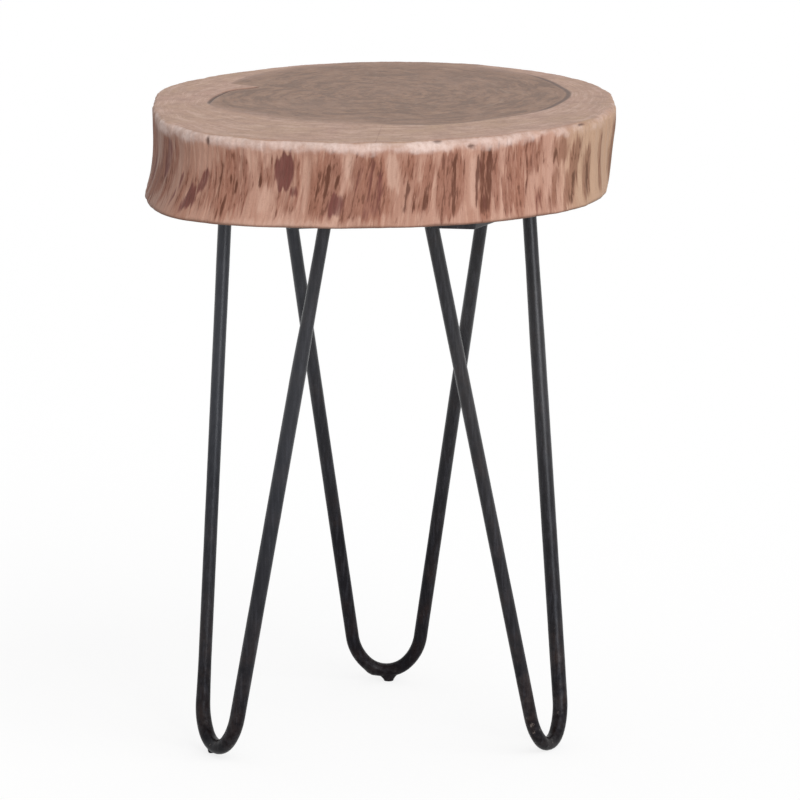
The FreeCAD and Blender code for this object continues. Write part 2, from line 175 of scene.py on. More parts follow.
# By degrees from the right: how far the grain of the edge leans to the right going up, the
# rounding of the upper and of the lower edge as a share of its mean, and how far the upper
# edge is lightened: partly wood sanded pale, partly a painted highlight on the front edge.
GRAIN_LEAN = {
    -180: -0.1, -150: -0.24, -130: -0.1, -112: 0.07, -95: 0.15, -78: 0.14, -66: 0.05, -36: 0.12,
    180: -0.1,
}
TOP_ARRIS_SHARE = {
    -180: 0.55, -150: 0.8, -120: 1.0, -60: 1.05, -25: 0.85, 20: 0.6, 90: 0.5, 150: 0.5, 180: 0.55,
}
LOW_ARRIS_SHARE = {
    -180: 1.7, -150: 1.5, -122: 1.0, -45: 1.0, -20: 1.3, 0: 1.5, 40: 1.1, 140: 1.0, 180: 1.7,
}
WEAR_AND_HIGHLIGHT_SHARE = {
    -180: 0.35, -150: 0.95, -110: 1.0, -75: 1.0, -55: 0.72, -30: 0.5, 0: 0.3, 60: 0.05, 180: 0.3,
}
# Least and greatest rounding of the two edges, metres.
TOP_ARRIS_LIMITS = (0.0026, 0.0095)
LOW_ARRIS_LIMITS = (0.0020, 0.0085)
# Stretches of the rim: the turn of the middle, half the length, and where the stretch fades
# out and is full, measured inwards from its ends. The open crack has a start and an end.
DARK_SEAM = (2.0, 38.0, -6.0, 10.0)
FRONT_SEAM = (-62.0, 32.0, -6.0, 12.0)
FRONT_SEAM_SHARE = 0.42
SOFT_LEFT = (232.0, 34.0, -4.0, 12.0)
SOFT_REAR = (95.0, 60.0, -4.0, 14.0)
BARE_REAR = (86.0, 27.0, -8.0, 6.0)
OLIVE_END = (0.0, 52.0, 0.0, 24.0)
# The left end of the edge is painted greyer and darker: painted shade where it turns from the
# lights.
GREY_SHADE_END = (180.0, 46.0, 0.0, 22.0)
CRACK_START = 163.0
CRACK_END = 198.0
# Wood ages from 0 at the pith to 1 at the heartwood's edge and 2 at the rim, which is younger
# by so much at the bare stretch.
RIM_AGE = 2.0
BARE_LOSS = 1.05
# Flutes of the live edge: how many go round at least and at most, how many are summed, how
# far they lean, and their share of the relief. They get shallower between two depths below
# the top, and inner bark stands out by its thickness, millimetres.
FLUTES = (((4, 22), 16, 2.0, 0.20), ((30, 110), 40, 2.5, 0.16), ((130, 330), 70, 5.0, 0.07))
FLUTE_LIMITS = (0.0, 1.6)
FLUTE_FADE = (56.0, 68.0)
BARK_THICK = 0.3
# Waves of the edges' rounding and of the marks' frayed ends, in the same way, and how far the
# ends are frayed, millimetres.
ARRIS_WAVES = ((5, 40), 14, 0.0)
FRINGE_WAVES = ((60, 300), 60, 0.0)
FRINGE = 1.6

# Marks on the live edge. Each has its middle in degrees from the right, its top and bottom
# below the table top, its half width, how far it leans to the right going up, and strength.
Mark = namedtuple("Mark", "turn top bottom half lean strength")
SMEARS = (
    Mark(-160.0, 12, 64, 10.0, 0.00, 0.78),
    Mark(-150.5, 8, 60, 8.5, 0.00, 1.05),
    Mark(-153.0, 34, 66, 12.0, 0.00, 0.80),
    Mark(-145.0, 12, 62, 6.0, 0.05, 0.80),
    Mark(-138.5, 32, 64, 3.5, 0.10, 0.65),
    Mark(-133.0, 28, 62, 11.0, 0.10, 0.60),
    Mark(-125.8, 9, 64, 20.0, 0.03, 0.70),
    Mark(-117.0, 12, 40, 8.5, 0.05, 0.60),
    Mark(-112.0, 8, 60, 13.0, -0.05, 0.70),
    Mark(-102.6, 7, 62, 12.0, 0.12, 0.86),
    Mark(-92.8, 10, 63, 14.0, 0.00, 1.32),
    Mark(-97.0, 36, 64, 8.0, 0.25, 0.95),
    Mark(-89.0, 36, 62, 7.0, -0.15, 0.72),
    Mark(-84.0, 9, 31, 6.0, 0.15, 0.74),
    Mark(-79.6, 13, 60, 8.0, 0.20, 0.78),
    Mark(-73.0, 11, 62, 11.5, 0.08, 1.40),
    Mark(-63.3, 8, 66, 7.0, 0.10, 1.20),
    Mark(-60.4, 10, 63, 4.5, 0.03, 0.74),
    Mark(-57.6, 26, 65, 6.0, 0.02, 0.82),
    Mark(-55.0, 5, 62, 12.0, 0.08, 0.72),
    Mark(-49.5, 4, 34, 12.0, 0.05, 0.78),
    Mark(-48.5, 46, 63, 4.0, 0.40, 0.82),
    Mark(-43.0, 32, 65, 5.0, 0.40, 0.78),
    Mark(-40.0, 8, 30, 9.0, 0.00, 1.05),
    Mark(-36.3, 12, 66, 7.0, 0.42, 1.10),
    Mark(-30.2, 20, 63, 6.5, 0.20, 1.05),
    Mark(-22.5, 11, 60, 4.0, 0.10, 0.60),
    Mark(-15.0, 9, 56, 3.0, 0.10, 0.55),
)
DASHES = (
    Mark(-128.0, 23, 46, 1.1, 0.05, 0.9),
    Mark(-125.5, 29, 36, 1.3, 0.00, 0.9),
    Mark(-124.0, 35, 48, 1.3, 0.05, 0.9),
    Mark(-126.0, 44, 62, 1.5, 0.00, 0.8),
    Mark(-118.5, 30, 39, 1.6, 0.05, 0.9),
    Mark(-102.6, 16, 45, 2.2, 0.20, 0.8),
    Mark(-104.6, 20, 46, 1.6, 0.20, 0.7),
    Mark(-100.4, 24, 44, 1.4, 0.20, 0.6),
    Mark(-84.0, 33, 58, 1.3, 0.20, 0.9),
    Mark(-79.4, 35, 59, 1.8, 0.24, 0.9),
    Mark(-82.0, 40, 58, 1.2, 0.22, 0.7),
    Mark(-72.0, 13, 63, 2.0, 0.06, 0.9),
    Mark(-65.7, 13, 58, 1.5, 0.10, 1.0),
    Mark(-62.6, 9, 60, 3.4, 0.10, 0.88),
    Mark(-64.4, 12, 62, 2.6, 0.06, 0.8),
    Mark(-51.2, 17, 30, 1.2, 0.05, 0.9),
    Mark(-51.8, 42, 51, 1.2, 0.05, 0.8),
    Mark(-41.6, 16, 27, 2.6, 0.00, 0.9),
    Mark(-36.6, 38, 64, 2.6, 0.45, 0.8),
    Mark(-30.2, 36, 58, 2.2, 0.20, 0.7),
)
STAINS = (
    Mark(-112.8, 9, 41, 8.0, 0.05, 1.15),
    Mark(-111.5, 4, 14, 1.2, 0.00, 0.80),
    Mark(-110.5, 36, 47, 3.6, 0.00, 0.85),
    Mark(-148.0, 10, 44, 6.5, 0.00, 0.52),
    Mark(-158.0, 34, 56, 5.0, 0.10, 0.50),
    Mark(-132.6, 28, 48, 4.6, 0.20, 0.86),
    Mark(-135.4, 44, 63, 7.5, 0.10, 0.84),
    Mark(-140.5, 34, 60, 2.6, 0.20, 0.70),
    Mark(-100.6, 41, 62, 6.2, 0.12, 0.85),
    Mark(-64.0, 10, 62, 7.0, 0.06, 0.20),
    Mark(-92.5, 50, 63, 9.0, 0.00, 0.46),
    Mark(-92.8, 13, 58, 13.0, 0.00, 0.36),
    Mark(-48.6, 48, 62, 2.5, 0.40, 0.50),
)
PALES = (
    Mark(-117.0, 36, 60, 6.5, 0.05, 0.55),
    Mark(-107.6, 10, 62, 3.4, 0.05, 0.5),
    Mark(-87.2, 8, 40, 6.5, 0.00, 0.75),
    Mark(-67.0, 12, 60, 3.2, 0.05, 0.7),
    Mark(-45.4, 26, 50, 5.0, 0.20, 0.35),
    Mark(-33.6, 40, 64, 4.0, 0.40, 0.6),
    Mark(-97.5, 8, 30, 4.0, 0.00, 0.7),
    Mark(-113.0, 63, 75, 50.0, 0.00, 0.6),
    Mark(-80.0, 64, 75, 60.0, 0.00, 0.25),
)
Pit = namedtuple("Pit", "turn depth half tall deep")
PITS = (
    Pit(-76.0, 1.0, 6.0, 1.3, 1.2),
    Pit(-67.2, 6.5, 4.6, 2.6, 1.4),
    Pit(-31.7, 1.6, 7.5, 1.2, 1.2),
    Pit(-132.6, 5.5, 3.0, 5.5, 1.8),
)
# Pits in the upper edge also dent it downwards, by a share, as far as a depth below the top.
PIT_DROP = 0.6
PIT_DROP_DEPTH = 12.0
# How the marks' edges fade: how far at the sides and at the ends, millimetres, and a power
# that makes the ends square.
MARK_EDGES = {
    "bark": (5.0, 8.0, 3.0),
    "dash": (1.2, 5.0, 3.0),
    "stain": (2.4, 4.0, 2.2),
    "pale": (3.5, 5.0, 3.0),
}
# Shallow hollows of the wall at both ends: turn, depth below the top, half height, depth.
# Their spread is half their length and how they fade, as for the stretches of the rim.
WALL_HOLLOWS = ((0.0, 38.0, 20.0, 2.0), (180.0, 42.0, 24.0, 1.3))
HOLLOW_SPREAD = (42.0, 0.0, 30.0)
# Bark of the side that is turned away: first and last turn, and the smears' half widths.
BACK_TURNS = (-10.0, 200.0)
BACK_HALVES = (3.5, 6.0, 10.0, 15.0, 22.0)
BACK_BARK_SEED = 23
RELIEF_SEED = 8
# Values that the slice's points carry for its finish.
MARK_NAMES = (
    "age", "side", "soft", "seam", "bark", "dash", "stain",
    "pit", "olive", "pale", "worn", "low", "slide", "ash",
)

# How the slab's wall is measured: levels in metres, directions, and blur in directions.
PROBE_LEVELS = (0.4850, 0.4950, 0.5050, 0.5150, 0.5250, 0.5350, 0.5430)
MIDDLE_LEVEL = 0.515
PROBE_TURNS = 1440
PROBE_BLUR = 5
# The wall's mean reach from the middle of the table, millimetres, and from the pith, metres.
WALL_REACH = 200.0
EDGE_REACH = 0.21
# Rows of the edge: round the upper arris, down the wall, round the lower arris.
TOP_ARRIS_ROWS = 8
WALL_ROWS = 36
LOW_ARRIS_ROWS = 6
# Rows of the top. Heartwood: share of its reach, and every how many columns have a point.
# Seam: millimetres from the heartwood's edge, how deep and how dark. Sapwood: share of it.
HEART_ROWS = (
    (0.03, 32), (0.06, 16), (0.12, 8), (0.2, 4), (0.3, 4), (0.4, 2), (0.5, 2),
    (0.6, 1), (0.7, 1), (0.8, 1), (0.88, 1), (0.94, 1),
)
SEAM_EDGE = 3.0
SEAM_ROWS = (
    (-SEAM_EDGE, 0.0, 0.0),
    (-1.9, 0.06, 0.05),
    (-0.9, 0.7, 0.85),
    (0.0, 1.0, 1.0),
    (0.9, 0.7, 0.85),
    (1.9, 0.06, 0.05),
    (SEAM_EDGE, 0.0, 0.0),
)
SAP_ROWS = (0.15, 0.3, 0.45, 0.6, 0.72, 0.82, 0.9, 0.95, 0.98)
# Rows of the underside, in the same way.
UNDER_SAP_ROWS = (0.96, 0.75, 0.4)
UNDER_HEART_ROWS = ((1.0, 1), (0.8, 2), (0.55, 4), (0.3, 8), (0.12, 16), (0.05, 32))

# Half the width of the floor and how near and far the camera sees, metres, and the width of
# the camera's sensor, millimetres.
FLOOR_REACH = 30.0
CAMERA_NEAR = 0.1
CAMERA_FAR = 100.0
SENSOR_WIDTH = 36.0
WHITE = (1.0, 1.0, 1.0)


def linear(red, green, blue):
    """A colour read off a screen, 0 to 255, as the light that Blender works in."""
    share = np.array((red, green, blue)) / 255.0
    low = share / 12.92
    high = ((share + 0.055) / 1.055) ** 2.4
    return tuple(float(x) for x in np.where(share <= 0.04045, low, high))


def colour_property(name, words, screen):
    """A colour that a user may change."""
    value = linear(*screen)
    return FloatVectorProperty(
        name=name, description=words, subtype="COLOR", size=3, min=0.0, max=1.0, default=value
    )


def length_property(name, words, value):
    """A length in metres that a user may change."""
    return FloatProperty(
        name=name, description=words, default=value, min=0.0, unit="LENGTH", precision=5
    )


def angle_property(name, words, degrees):
    """An angle that a user may change."""
    value = math.radians(degrees)
    return FloatProperty(name=name, description=words, default=value, subtype="ANGLE")


def level_property(name, words, value, **limits):
    """A plain value that a user may change, from 0 up if no limit says otherwise."""
    return FloatProperty(name=name, description=words, default=value, **{"min": 0.0, **limits})


def count_property(name, words, value, least, most):
    """A number of things that a user may change."""
    return IntProperty(name=name, description=words, default=value, min=least, max=most)


class SliceSettings(bpy.types.PropertyGroup):
    """Sizes and colours of the wood slice."""

    columns: count_property("Columns", "Steps around the edge of the slice", 1120, 224, 1792)
    top_arris: length_property("Top arris", "Mean rounding of the upper edge", 0.0064)
    low_arris: length_property("Low arris", "Mean rounding of the lower edge", 0.0032)
    relief: length_property("Relief", "Depth of the hollows in the live edge", 0.0016)
    crack_depth: length_property("Crack depth", "Depth of the check beside the heartwood", 0.0014)
    sapwood: colour_property("Sapwood", "Pale outer wood of the top", (181, 143, 125))
    heartwood: colour_property("Heartwood", "Grey-brown inner wood of the top", (137, 102, 79))
    edge_wood: colour_property("Edge wood", "Peeled wood of the live edge", (188, 146, 128))
    bark: colour_property("Inner bark", "Rests of inner bark on the edge", (147, 100, 83))
    dark_bark: colour_property("Dark bark", "Darkest fibres of the inner bark", (94, 54, 39))
    stain: colour_property("Stain", "Purple-brown stains and knots", (108, 58, 53))


class LegSettings(bpy.types.PropertyGroup):
    """Sizes and colours of the hairpin legs."""

    bar: length_property("Bar", "Diameter of the round bar", BAR_DIAMETER * MM)
    lump: length_property("Paint lumps", "Unevenness of the paint on the bar", 0.00012)
    sides: count_property("Sides", "Faces around the bar", 28, 12, 64)
    ripples: count_property("Ripples", "Ripples around each weld", 17, 6, 40)
    bead: length_property("Bead", "Thickness of the weld bead", 0.0062)
    plate_edge: length_property("Plate edge", "Rounding of the plates' edges", 0.0006)
    paint: colour_property("Paint", "Satin black paint", (29, 27, 29))
    rust: colour_property("Rubbed paint", "Brown tint where the paint is thin", (50, 37, 33))
    steel: colour_property("Screw steel", "Plated steel of the screws", (120, 118, 112))


class StageSettings(bpy.types.PropertyGroup):
    """Floor, lights and camera. Lights turn to the right of the front."""

    lens: level_property("Lens", "Focal length of the camera, millimetres", 269.36, min=20.0)
    camera_place: FloatVectorProperty(
        name="Camera place",
        description="Where the camera stands",
        size=3,
        subtype="XYZ",
        unit="LENGTH",
        default=(0.0154, -5.00395, 1.43707),
    )
    camera_pitch: angle_property("Camera pitch", "How far the camera looks down", 12.909404)
    floor: colour_property("Floor", "Plain floor under the table", (210, 210, 210))
    floor_shadow: level_property("Floor shadow", "How much of the floor is lit", 0.25, max=1.0)
    key_level: level_property("Key light", "Strength of the soft front light", 0.31)
    key_turn: angle_property("Key turn", "How far round the key light stands", 44.0)
    key_height: angle_property("Key height", "How high the key light stands", 45.0)
    key_spread: angle_property("Key spread", "How wide the key light looks", 50.0)
    strip_level: level_property("Strip light", "Strength of the light along the bars", 0.40)
    strip_turn: angle_property("Strip turn", "How far round the strip light stands", 26.0)
    strip_height: angle_property("Strip height", "How high the strip light stands", 8.0)
    strip_spread: angle_property("Strip spread", "How wide the strip light looks", 27.0)
    fill_level: level_property("Fill", "Strength of the light from all sides", 0.60)


class TableSettings(bpy.types.PropertyGroup):
    """All settings of the table."""

    wood: PointerProperty(type=SliceSettings)
    legs: PointerProperty(type=LegSettings)
    stage: PointerProperty(type=StageSettings)


class Wire:
    """An output socket. Sums on it add Math nodes to its tree."""

    def __init__(self, graph, socket):
        self.graph = graph
        self.socket = socket

    def math(self, operation, *terms):
        return self.graph.add("ShaderNodeMath", dict(enumerate(terms)), operation=operation)

    def __add__(self, other):
        return self.math("ADD", self, other)

    def __sub__(self, other):
        return self.math("SUBTRACT", self, other)

    def __rsub__(self, other):
        return self.math("SUBTRACT", other, self)

    def __mul__(self, other):
        return self.math("MULTIPLY", self, other)

    def __truediv__(self, other):
        return self.math("DIVIDE", self, other)

    __radd__ = __add__
    __rmul__ = __mul__

    def sine(self):
        return self.math("SINE", self)

    def size(self):
        return self.math("ABSOLUTE", self)

    def least(self, other):
        return self.math("MINIMUM", self, other)

    def most(self, other):
        return self.math("MAXIMUM", self, other)

    def clamped(self):
        return self.most(0.0).least(1.0)

    def swing(self, amount):
        """How far a value from 0 to 1 is off its middle, times an amount."""
        return (self - 0.5) * amount

    def ramp(self, start, end):
        """Eases from 0 at start to 1 at end."""
        sockets = {"Value": self, "From Min": start, "From Max": end}
        return self.graph.add("ShaderNodeMapRange", sockets, interpolation_type="SMOOTHSTEP")


class Graph:
    """A node tree that is filled one node at a time."""

    def __init__(self, tree):
        self.tree = tree
        self.tree.nodes.clear()

    def add(self, kind, sockets=None, out=None, **settings):
        """Adds a node, sets it up, joins its sockets and gives back one of its outputs."""
        node = self.tree.nodes.new(kind)
        for name, value in settings.items():
            setattr(node, name, value)
        for key, value in (sockets or {}).items():
            socket = node.inputs[key]
            if isinstance(value, Wire):
                self.tree.links.new(value.socket, socket)
            elif socket.type == "RGBA" and len(value) == 3:
                socket.default_value = (*value, 1.0)
            else:
                socket.default_value = value
        if len(node.outputs) == 0:
            return node
        return Wire(self, node.outputs[out] if out else next(s for s in node.outputs if s.enabled))

    def place(self):
        """Object coordinates."""
        return self.add("ShaderNodeTexCoord", out="Object")

    def part(self, place, axis):
        """One number of a place."""
        return self.add("ShaderNodeSeparateXYZ", {"Vector": place}, axis)

    def vector(self, operation, *terms, out=None, **named):
        """A Vector Math node."""
        sockets = {**dict(enumerate(terms)), **named}
        return self.add("ShaderNodeVectorMath", sockets, out, operation=operation)

    def mix(self, share, first, second):
        """Mixes two colours."""
        return self.add("ShaderNodeMix", {0: share, 6: first, 7: second}, data_type="RGBA")

    def layers(self, colour, *rows):
        """Lays colours over a colour, each by its share; plain numbers are screen colours."""
        for share, over in rows:
            colour = self.mix(share, colour, linear(*over) if isinstance(over, tuple) else over)
        return colour

    def noise(self, place, scale, detail=3.0, roughness=0.5):
        """Cloudy noise from 0 to 1."""
        sockets = {"Vector": place, "Scale": scale, "Detail": detail, "Roughness": roughness}
        return self.add("ShaderNodeTexNoise", sockets)

    def bump(self, strength, distance, height):
        """A fine relief of the surface."""
        sockets = {"Strength": strength, "Distance": distance, "Height": height}
        return self.add("ShaderNodeBump", sockets)

    def seen(self):
        """1 for what the eye sees straight, mirrored or through glass, 0 for light."""
        found = self.add("ShaderNodeLightPath", out="Is Camera Ray")
        for ray in ("Is Glossy Ray", "Is Transmission Ray"):
            found = found.most(self.add("ShaderNodeLightPath", out=ray))
        return found


def new_finish(name):
    """A new material with an empty tree."""
    material = bpy.data.materials.new(name)
    material.use_nodes = True
    return material, Graph(material.node_tree)


def close_finish(g, sockets):
    """Ends a material in one shader."""
    shader = g.add("ShaderNodeBsdfPrincipled", sockets)
    g.add("ShaderNodeOutputMaterial", {"Surface": shader})


def wood_finish(settings):
    """End grain on the top, peeled live edge with smears of inner bark on the side."""
    material, g = new_finish("slice_wood")
    place = g.place()
    mark = {}
    for name in MARK_NAMES:
        mark[name] = g.add("ShaderNodeAttribute", out="Fac", attribute_name=name)
    cloud = g.noise(place, 14.0, 4.0, 0.55)
    speck = g.noise(place, 260.0, 4.0, 0.65)
    fine = g.noise(place, 700.0, 3.0, 0.6)
    from_pith = g.vector("SUBTRACT", place, (PITH[0] * MM, PITH[1] * MM, 0.0))
    ray = g.vector("NORMALIZE", g.vector("MULTIPLY", from_pith, (1.0, 1.0, 0.0)))
    top = end_grain(g, settings, place, ray, mark, cloud, speck)
    edge, cover, rubbed_and_highlit, grain = live_edge(g, settings, place, ray, mark)

    side = mark["side"]
    # Colour of the pale upper edge: wood sanded pale, lightened further by a painted highlight.
    pale = g.mix((speck - 0.42).clamped() * 2.0, linear(230, 208, 200), linear(198, 167, 153))
    colour = g.layers(
        g.mix(side, top, edge),
        (rubbed_and_highlit * 0.8, pale),
        (mark["seam"], (80, 54, 40)),
        (mark["pit"], (88, 60, 49)),
        # Painted shade: the lower rounded edge is darkened where it turns down, away from the
        # lights.
        (mark["low"] * 0.7, (96, 66, 52)),
        ((fine - 0.52).clamped() * 0.7, (104, 76, 62)),
    )
    height = grain * side + (1.0 - side) * fine * 0.12 + cover * side * 0.4
    sockets = {
        "Base Color": colour,
        "Roughness": (0.50 + speck.swing(0.3)) * (1.0 - side) + side * (0.64 + cover * 0.14),
        "Normal": g.bump(0.6, 0.0009, height),
        "Specular IOR Level": 0.30,
    }
    close_finish(g, sockets)
    return material


def end_grain(g, settings, place, ray, mark, cloud, speck):
    """The top: pale sapwood, darker heartwood, broken rings round the pith, fine rays."""
    across = g.part(ray, "X")
    ahead = g.part(ray, "Y")
    age = mark["age"]
    wander = g.noise(place, 24.0).swing(0.16)
    spread = (age / 0.4).least(1.0)

    def rings(count, breaks):
        turn = spread * breaks
        spot = {"X": (age + wander) * count, "Y": across * turn, "Z": ahead * turn}
        return g.noise(g.add("ShaderNodeCombineXYZ", spot), 1.0, 4.0, 0.62)

    broad = rings(14.0, 4.2)
    narrow = rings(44.0, 6.0)
    mottle = g.noise(place, 75.0, 3.0, 0.6)
    years = (age * 28.0 + g.noise(place, 11.0).swing(3.5) + mottle.swing(0.6)) * math.tau
    late = years.sine().ramp(0.1, 1.0) * broad.ramp(0.36, 0.60)
    rays = g.noise(ray, 46.0, 3.0, 0.65).ramp(0.60, 0.70)
    check = rays * (1.0 - age.ramp(0.55, 0.95)) * age.ramp(0.12, 0.35)
    arc = (1.0 - (age + wander * 0.4 - 0.66).size() / 0.016).clamped() * across.ramp(0.55, 0.9)
    width = mark["soft"] * 0.22 + 0.012
    border = age + narrow.swing(0.25) * mark["soft"] + speck.swing(0.02)
    heart = 1.0 - border.ramp(1.0 - width, 1.0 + width)
    sap = g.layers(
        settings.sapwood,
        ((cloud - 0.36).clamped() * 2.4, (174, 142, 110)),
        (narrow.ramp(0.46, 0.70) * 0.50, (158, 118, 99)),
        (broad.ramp(0.46, 0.64) * 0.60, (205, 171, 154)),
        ((mottle - 0.44).clamped() * 2.4, (150, 115, 98)),
    )
    core = g.layers(
        settings.heartwood,
        (broad.ramp(0.46, 0.62), (111, 80, 59)),
        ((1.0 - broad).ramp(0.52, 0.66) * 0.6, (157, 123, 99)),
        (narrow.ramp(0.48, 0.66) * 0.42, (104, 77, 61)),
        ((mottle - 0.44).clamped() * 2.0, (112, 83, 64)),
        ((cloud - 0.45).clamped() * 1.4, (150, 117, 98)),
        (check * 0.35, (160, 134, 118)),
        (arc * mottle.ramp(0.35, 0.6) * 0.40, (170, 143, 123)),
    )
    split = (1.0 - (across * FRONT_CHECK[1] - ahead * FRONT_CHECK[0]).size() / 0.004).clamped()
    return g.layers(
        g.mix(heart, sap, core),
        (split * age.ramp(1.0, 1.15) * mottle.ramp(0.3, 0.5) * 0.5, (138, 100, 84)),
        (late * 0.30, g.mix(heart, linear(148, 112, 94), linear(96, 70, 55))),
        ((speck - 0.5).clamped() * 1.1, (124, 93, 78)),
    )


def live_edge(g, settings, place, ray, mark):
    """The edge: peeled fibrous wood, ragged bark; also cover, sanded rim with painted highlight,
    grain.
    """
    level = g.part(place, "Z")
    turn = {"Vector": ray, "Angle": mark["slide"] * (-1.0 / EDGE_REACH)}
    leaning = g.add("ShaderNodeVectorRotate", turn, rotation_type="Z_AXIS")
    wrapped = g.vector("SCALE", leaning, Scale=EDGE_REACH)

    def fibres(share, scale, detail, roughness):
        """Noise round the edge, drawn out upwards."""
        up = g.add("ShaderNodeCombineXYZ", {"Z": level * share})
        return g.noise(g.vector("ADD", wrapped, up), scale, detail, roughness)

    fibre = fibres(0.10, 380.0, 2.0, 0.6)
    fleck = fibres(0.15, 720.0, 2.0, 0.55)
    streak = fibres(0.06, 115.0, 4.0, 0.65)
    tone = fibres(0.06, 48.0, 3.0, 0.6)
    patchy = g.noise(place, 60.0, 3.0, 0.6)
    bark = mark["bark"]
    dash = mark["dash"]
    stain = mark["stain"]
    olive = mark["olive"]
    worn = mark["worn"]

    light = (mark["pale"] + fibre.swing(0.9)).ramp(0.2, 0.9)
    wood = g.layers(
        settings.edge_wood,
        (tone.ramp(0.35, 0.65), (172, 127, 108)),
        (streak.ramp(0.48, 0.66) * 0.45, (162, 114, 94)),
        ((1.0 - fibre).ramp(0.52, 0.68) * 0.45, (206, 166, 146)),
        (fleck.ramp(0.60, 0.74) * 0.4, (138, 92, 74)),
        (light * 0.8, (203, 165, 147)),
        (olive.ramp(0.25, 1.0) * 0.70, (184, 154, 127)),
        # Painted shade at the left end of the edge, greyer.
        (mark["ash"] * 0.6, (152, 121, 108)),
    )
    brown = g.layers(
        settings.bark,
        (tone.ramp(0.38, 0.62), (156, 106, 87)),
        (patchy.ramp(0.42, 0.68) * 0.55, (136, 88, 69)),
        (fibre.ramp(0.50, 0.68) * 0.45, (124, 79, 63)),
        ((1.0 - fleck).ramp(0.52, 0.68) * 0.32, (184, 138, 117)),
        (olive * 0.8, (134, 101, 80)),
    )
    ragged = bark + fibre.swing(1.2) + streak.swing(1.2) + fleck.swing(0.5)
    cover = ragged.ramp(0.12, 0.84) * bark.ramp(0.0, 0.18)
    dots = (fleck + fibre.swing(0.6) + bark * 0.08 + dash * 0.10).ramp(0.64, 0.74)
    lines = (dash + fleck.swing(1.2) + fibre.swing(1.0)).ramp(0.25, 0.80) * dash.ramp(0.0, 0.2)
    blot = (stain + fibre.swing(1.2) + streak.swing(1.0)).ramp(0.22, 0.78) * stain.ramp(0.0, 0.15)
    edge = g.layers(
        wood,
        (cover * 0.9, brown),
        (dots * (cover * 0.5 + 0.10), settings.dark_bark),
        (lines * 0.85, g.mix(olive, settings.dark_bark, linear(100, 70, 54))),
        (blot * 0.88, g.mix(fleck.ramp(0.45, 0.62) * 0.5, settings.stain, linear(94, 56, 50))),
        # More painted shade at the left end, greyer still.
        (mark["ash"] * (0.10 + tone * 0.26), (118, 96, 90)),
    )
    # The upper edge lightened: wood sanded pale, with a painted highlight where it faces the
    # lights.
    rubbed_and_highlit = (worn + streak.swing(0.5) + patchy.swing(1.9)).ramp(0.25, 1.25) * worn.ramp(0.0, 0.3)
    return edge, cover, rubbed_and_highlit, fibre * 0.6 + fleck * 0.3 + streak * 0.5


def paint_finish(settings):
    """Satin black paint: duller and brownish near the floor, with painted shade there and a few
    chips.
    """
    material, g = new_finish("leg_paint")
    place = g.place()
    right = g.part(place, "X")
    behind = g.part(place, "Y")
    height = g.part(place, "Z")
    drawn = g.add("ShaderNodeMapping", {"Vector": place, "Scale": (1.0, 1.0, 0.04)})
    mottle = g.noise(place, 45.0, 4.0, 0.6)
    lines = g.noise(drawn, 420.0, 3.0, 0.6)
    grain = g.noise(place, 800.0, 3.0, 0.6)
    chip = g.noise(place, 230.0, 3.0, 0.65)
    low = 1.0 - height.ramp(0.01, 0.16)
    thin = (mottle.ramp(0.45, 0.75) * 0.4 + low * mottle.ramp(0.35, 0.6) * 0.5).clamped()
    # The left leg's upper bars look lighter and bluish: partly dust, partly a painted sheen for
    # light on that side.
    dust_and_sheen = (0.0 - right).ramp(0.02, 0.12) * height.ramp(0.05, 0.38) * (0.5 + mottle * 0.5)
    chips = chip.ramp(0.70, 0.74) * (low * 0.9 + 0.06)
    for leg, along, level, reach, strength in PAINT_CHIPS:
        spot = on_leg(leg, SPLAY * (1.0 - level / PLATE_UNDERSIDE), leg.sway + along, level)
        spot.y -= settings.bar / 2
        away = g.vector("DISTANCE", place, spot, out="Value")
        torn = 1.0 - away / (reach * MM) + chip.swing(2.0) + grain.swing(1.0)
        chips = chips.most(torn.ramp(0.25, 0.6) * strength)
    colour = g.layers(
        settings.paint,
        (thin, settings.rust),
        (lines.ramp(0.46, 0.66) * 0.6, (50, 49, 54)),
        (grain.ramp(0.52, 0.66) * 0.6, (14, 12, 13)),
        # Dust and painted sheen on the left leg's upper bars.
        (dust_and_sheen * 0.8, (60, 63, 70)),
        # Painted shade: the bars darken towards the floor.
        ((1.0 - height.ramp(0.0, 0.06)) * 0.75, (11, 7, 8)),
        (chips * 0.7, (128, 116, 110)),
    )
    sleek = right.ramp(0.03, 0.10) * height.ramp(0.12, 0.26) * (1.0 - height.ramp(0.36, 0.42))
    dull = behind.ramp(0.10, 0.13) * height.ramp(0.0, 0.06) * (1.0 - height.ramp(0.14, 0.20))
    gloss = height.ramp(0.0, 0.12) * 0.34 + height.ramp(0.20, 0.36) * 0.45
    gloss = gloss + sleek * 0.25 - dull * 0.26 + low * 0.05
    gloss = gloss + mottle.swing(0.4 + low) + lines.swing(0.4) + chip.swing(low * 1.2)
    relief = grain * 0.25 + lines * 0.5 + mottle * 0.4 - chips * 0.8
    sockets = {
        "Base Color": colour,
        "Roughness": 0.36 + mottle.swing(0.25) + lines.swing(0.2) + chips * 0.2,
        "Normal": g.bump(0.3, 0.0004, relief),
        "Specular IOR Level": 0.08,
        "Specular Tint": (0.70, 0.80, 1.0),
        "Coat Weight": gloss.clamped(),
        "Coat IOR": 1.40,
        "Coat Roughness": 0.38,
    }
    close_finish(g, sockets)
    return material


def screw_finish(settings):
    """Dull plated steel."""
    material, g = new_finish("plated_steel")
    dull = g.noise(g.place(), 900.0, 3.0, 0.6)
    sockets = {
        "Base Color": g.layers(settings.steel, (dull.ramp(0.3, 0.75), (88, 84, 76))),
        "Roughness": 0.3 + dull * 0.25,
        "Normal": g.bump(0.15, 0.0002, dull),
        "Metallic": 0.9,
    }
    close_finish(g, sockets)
    return material


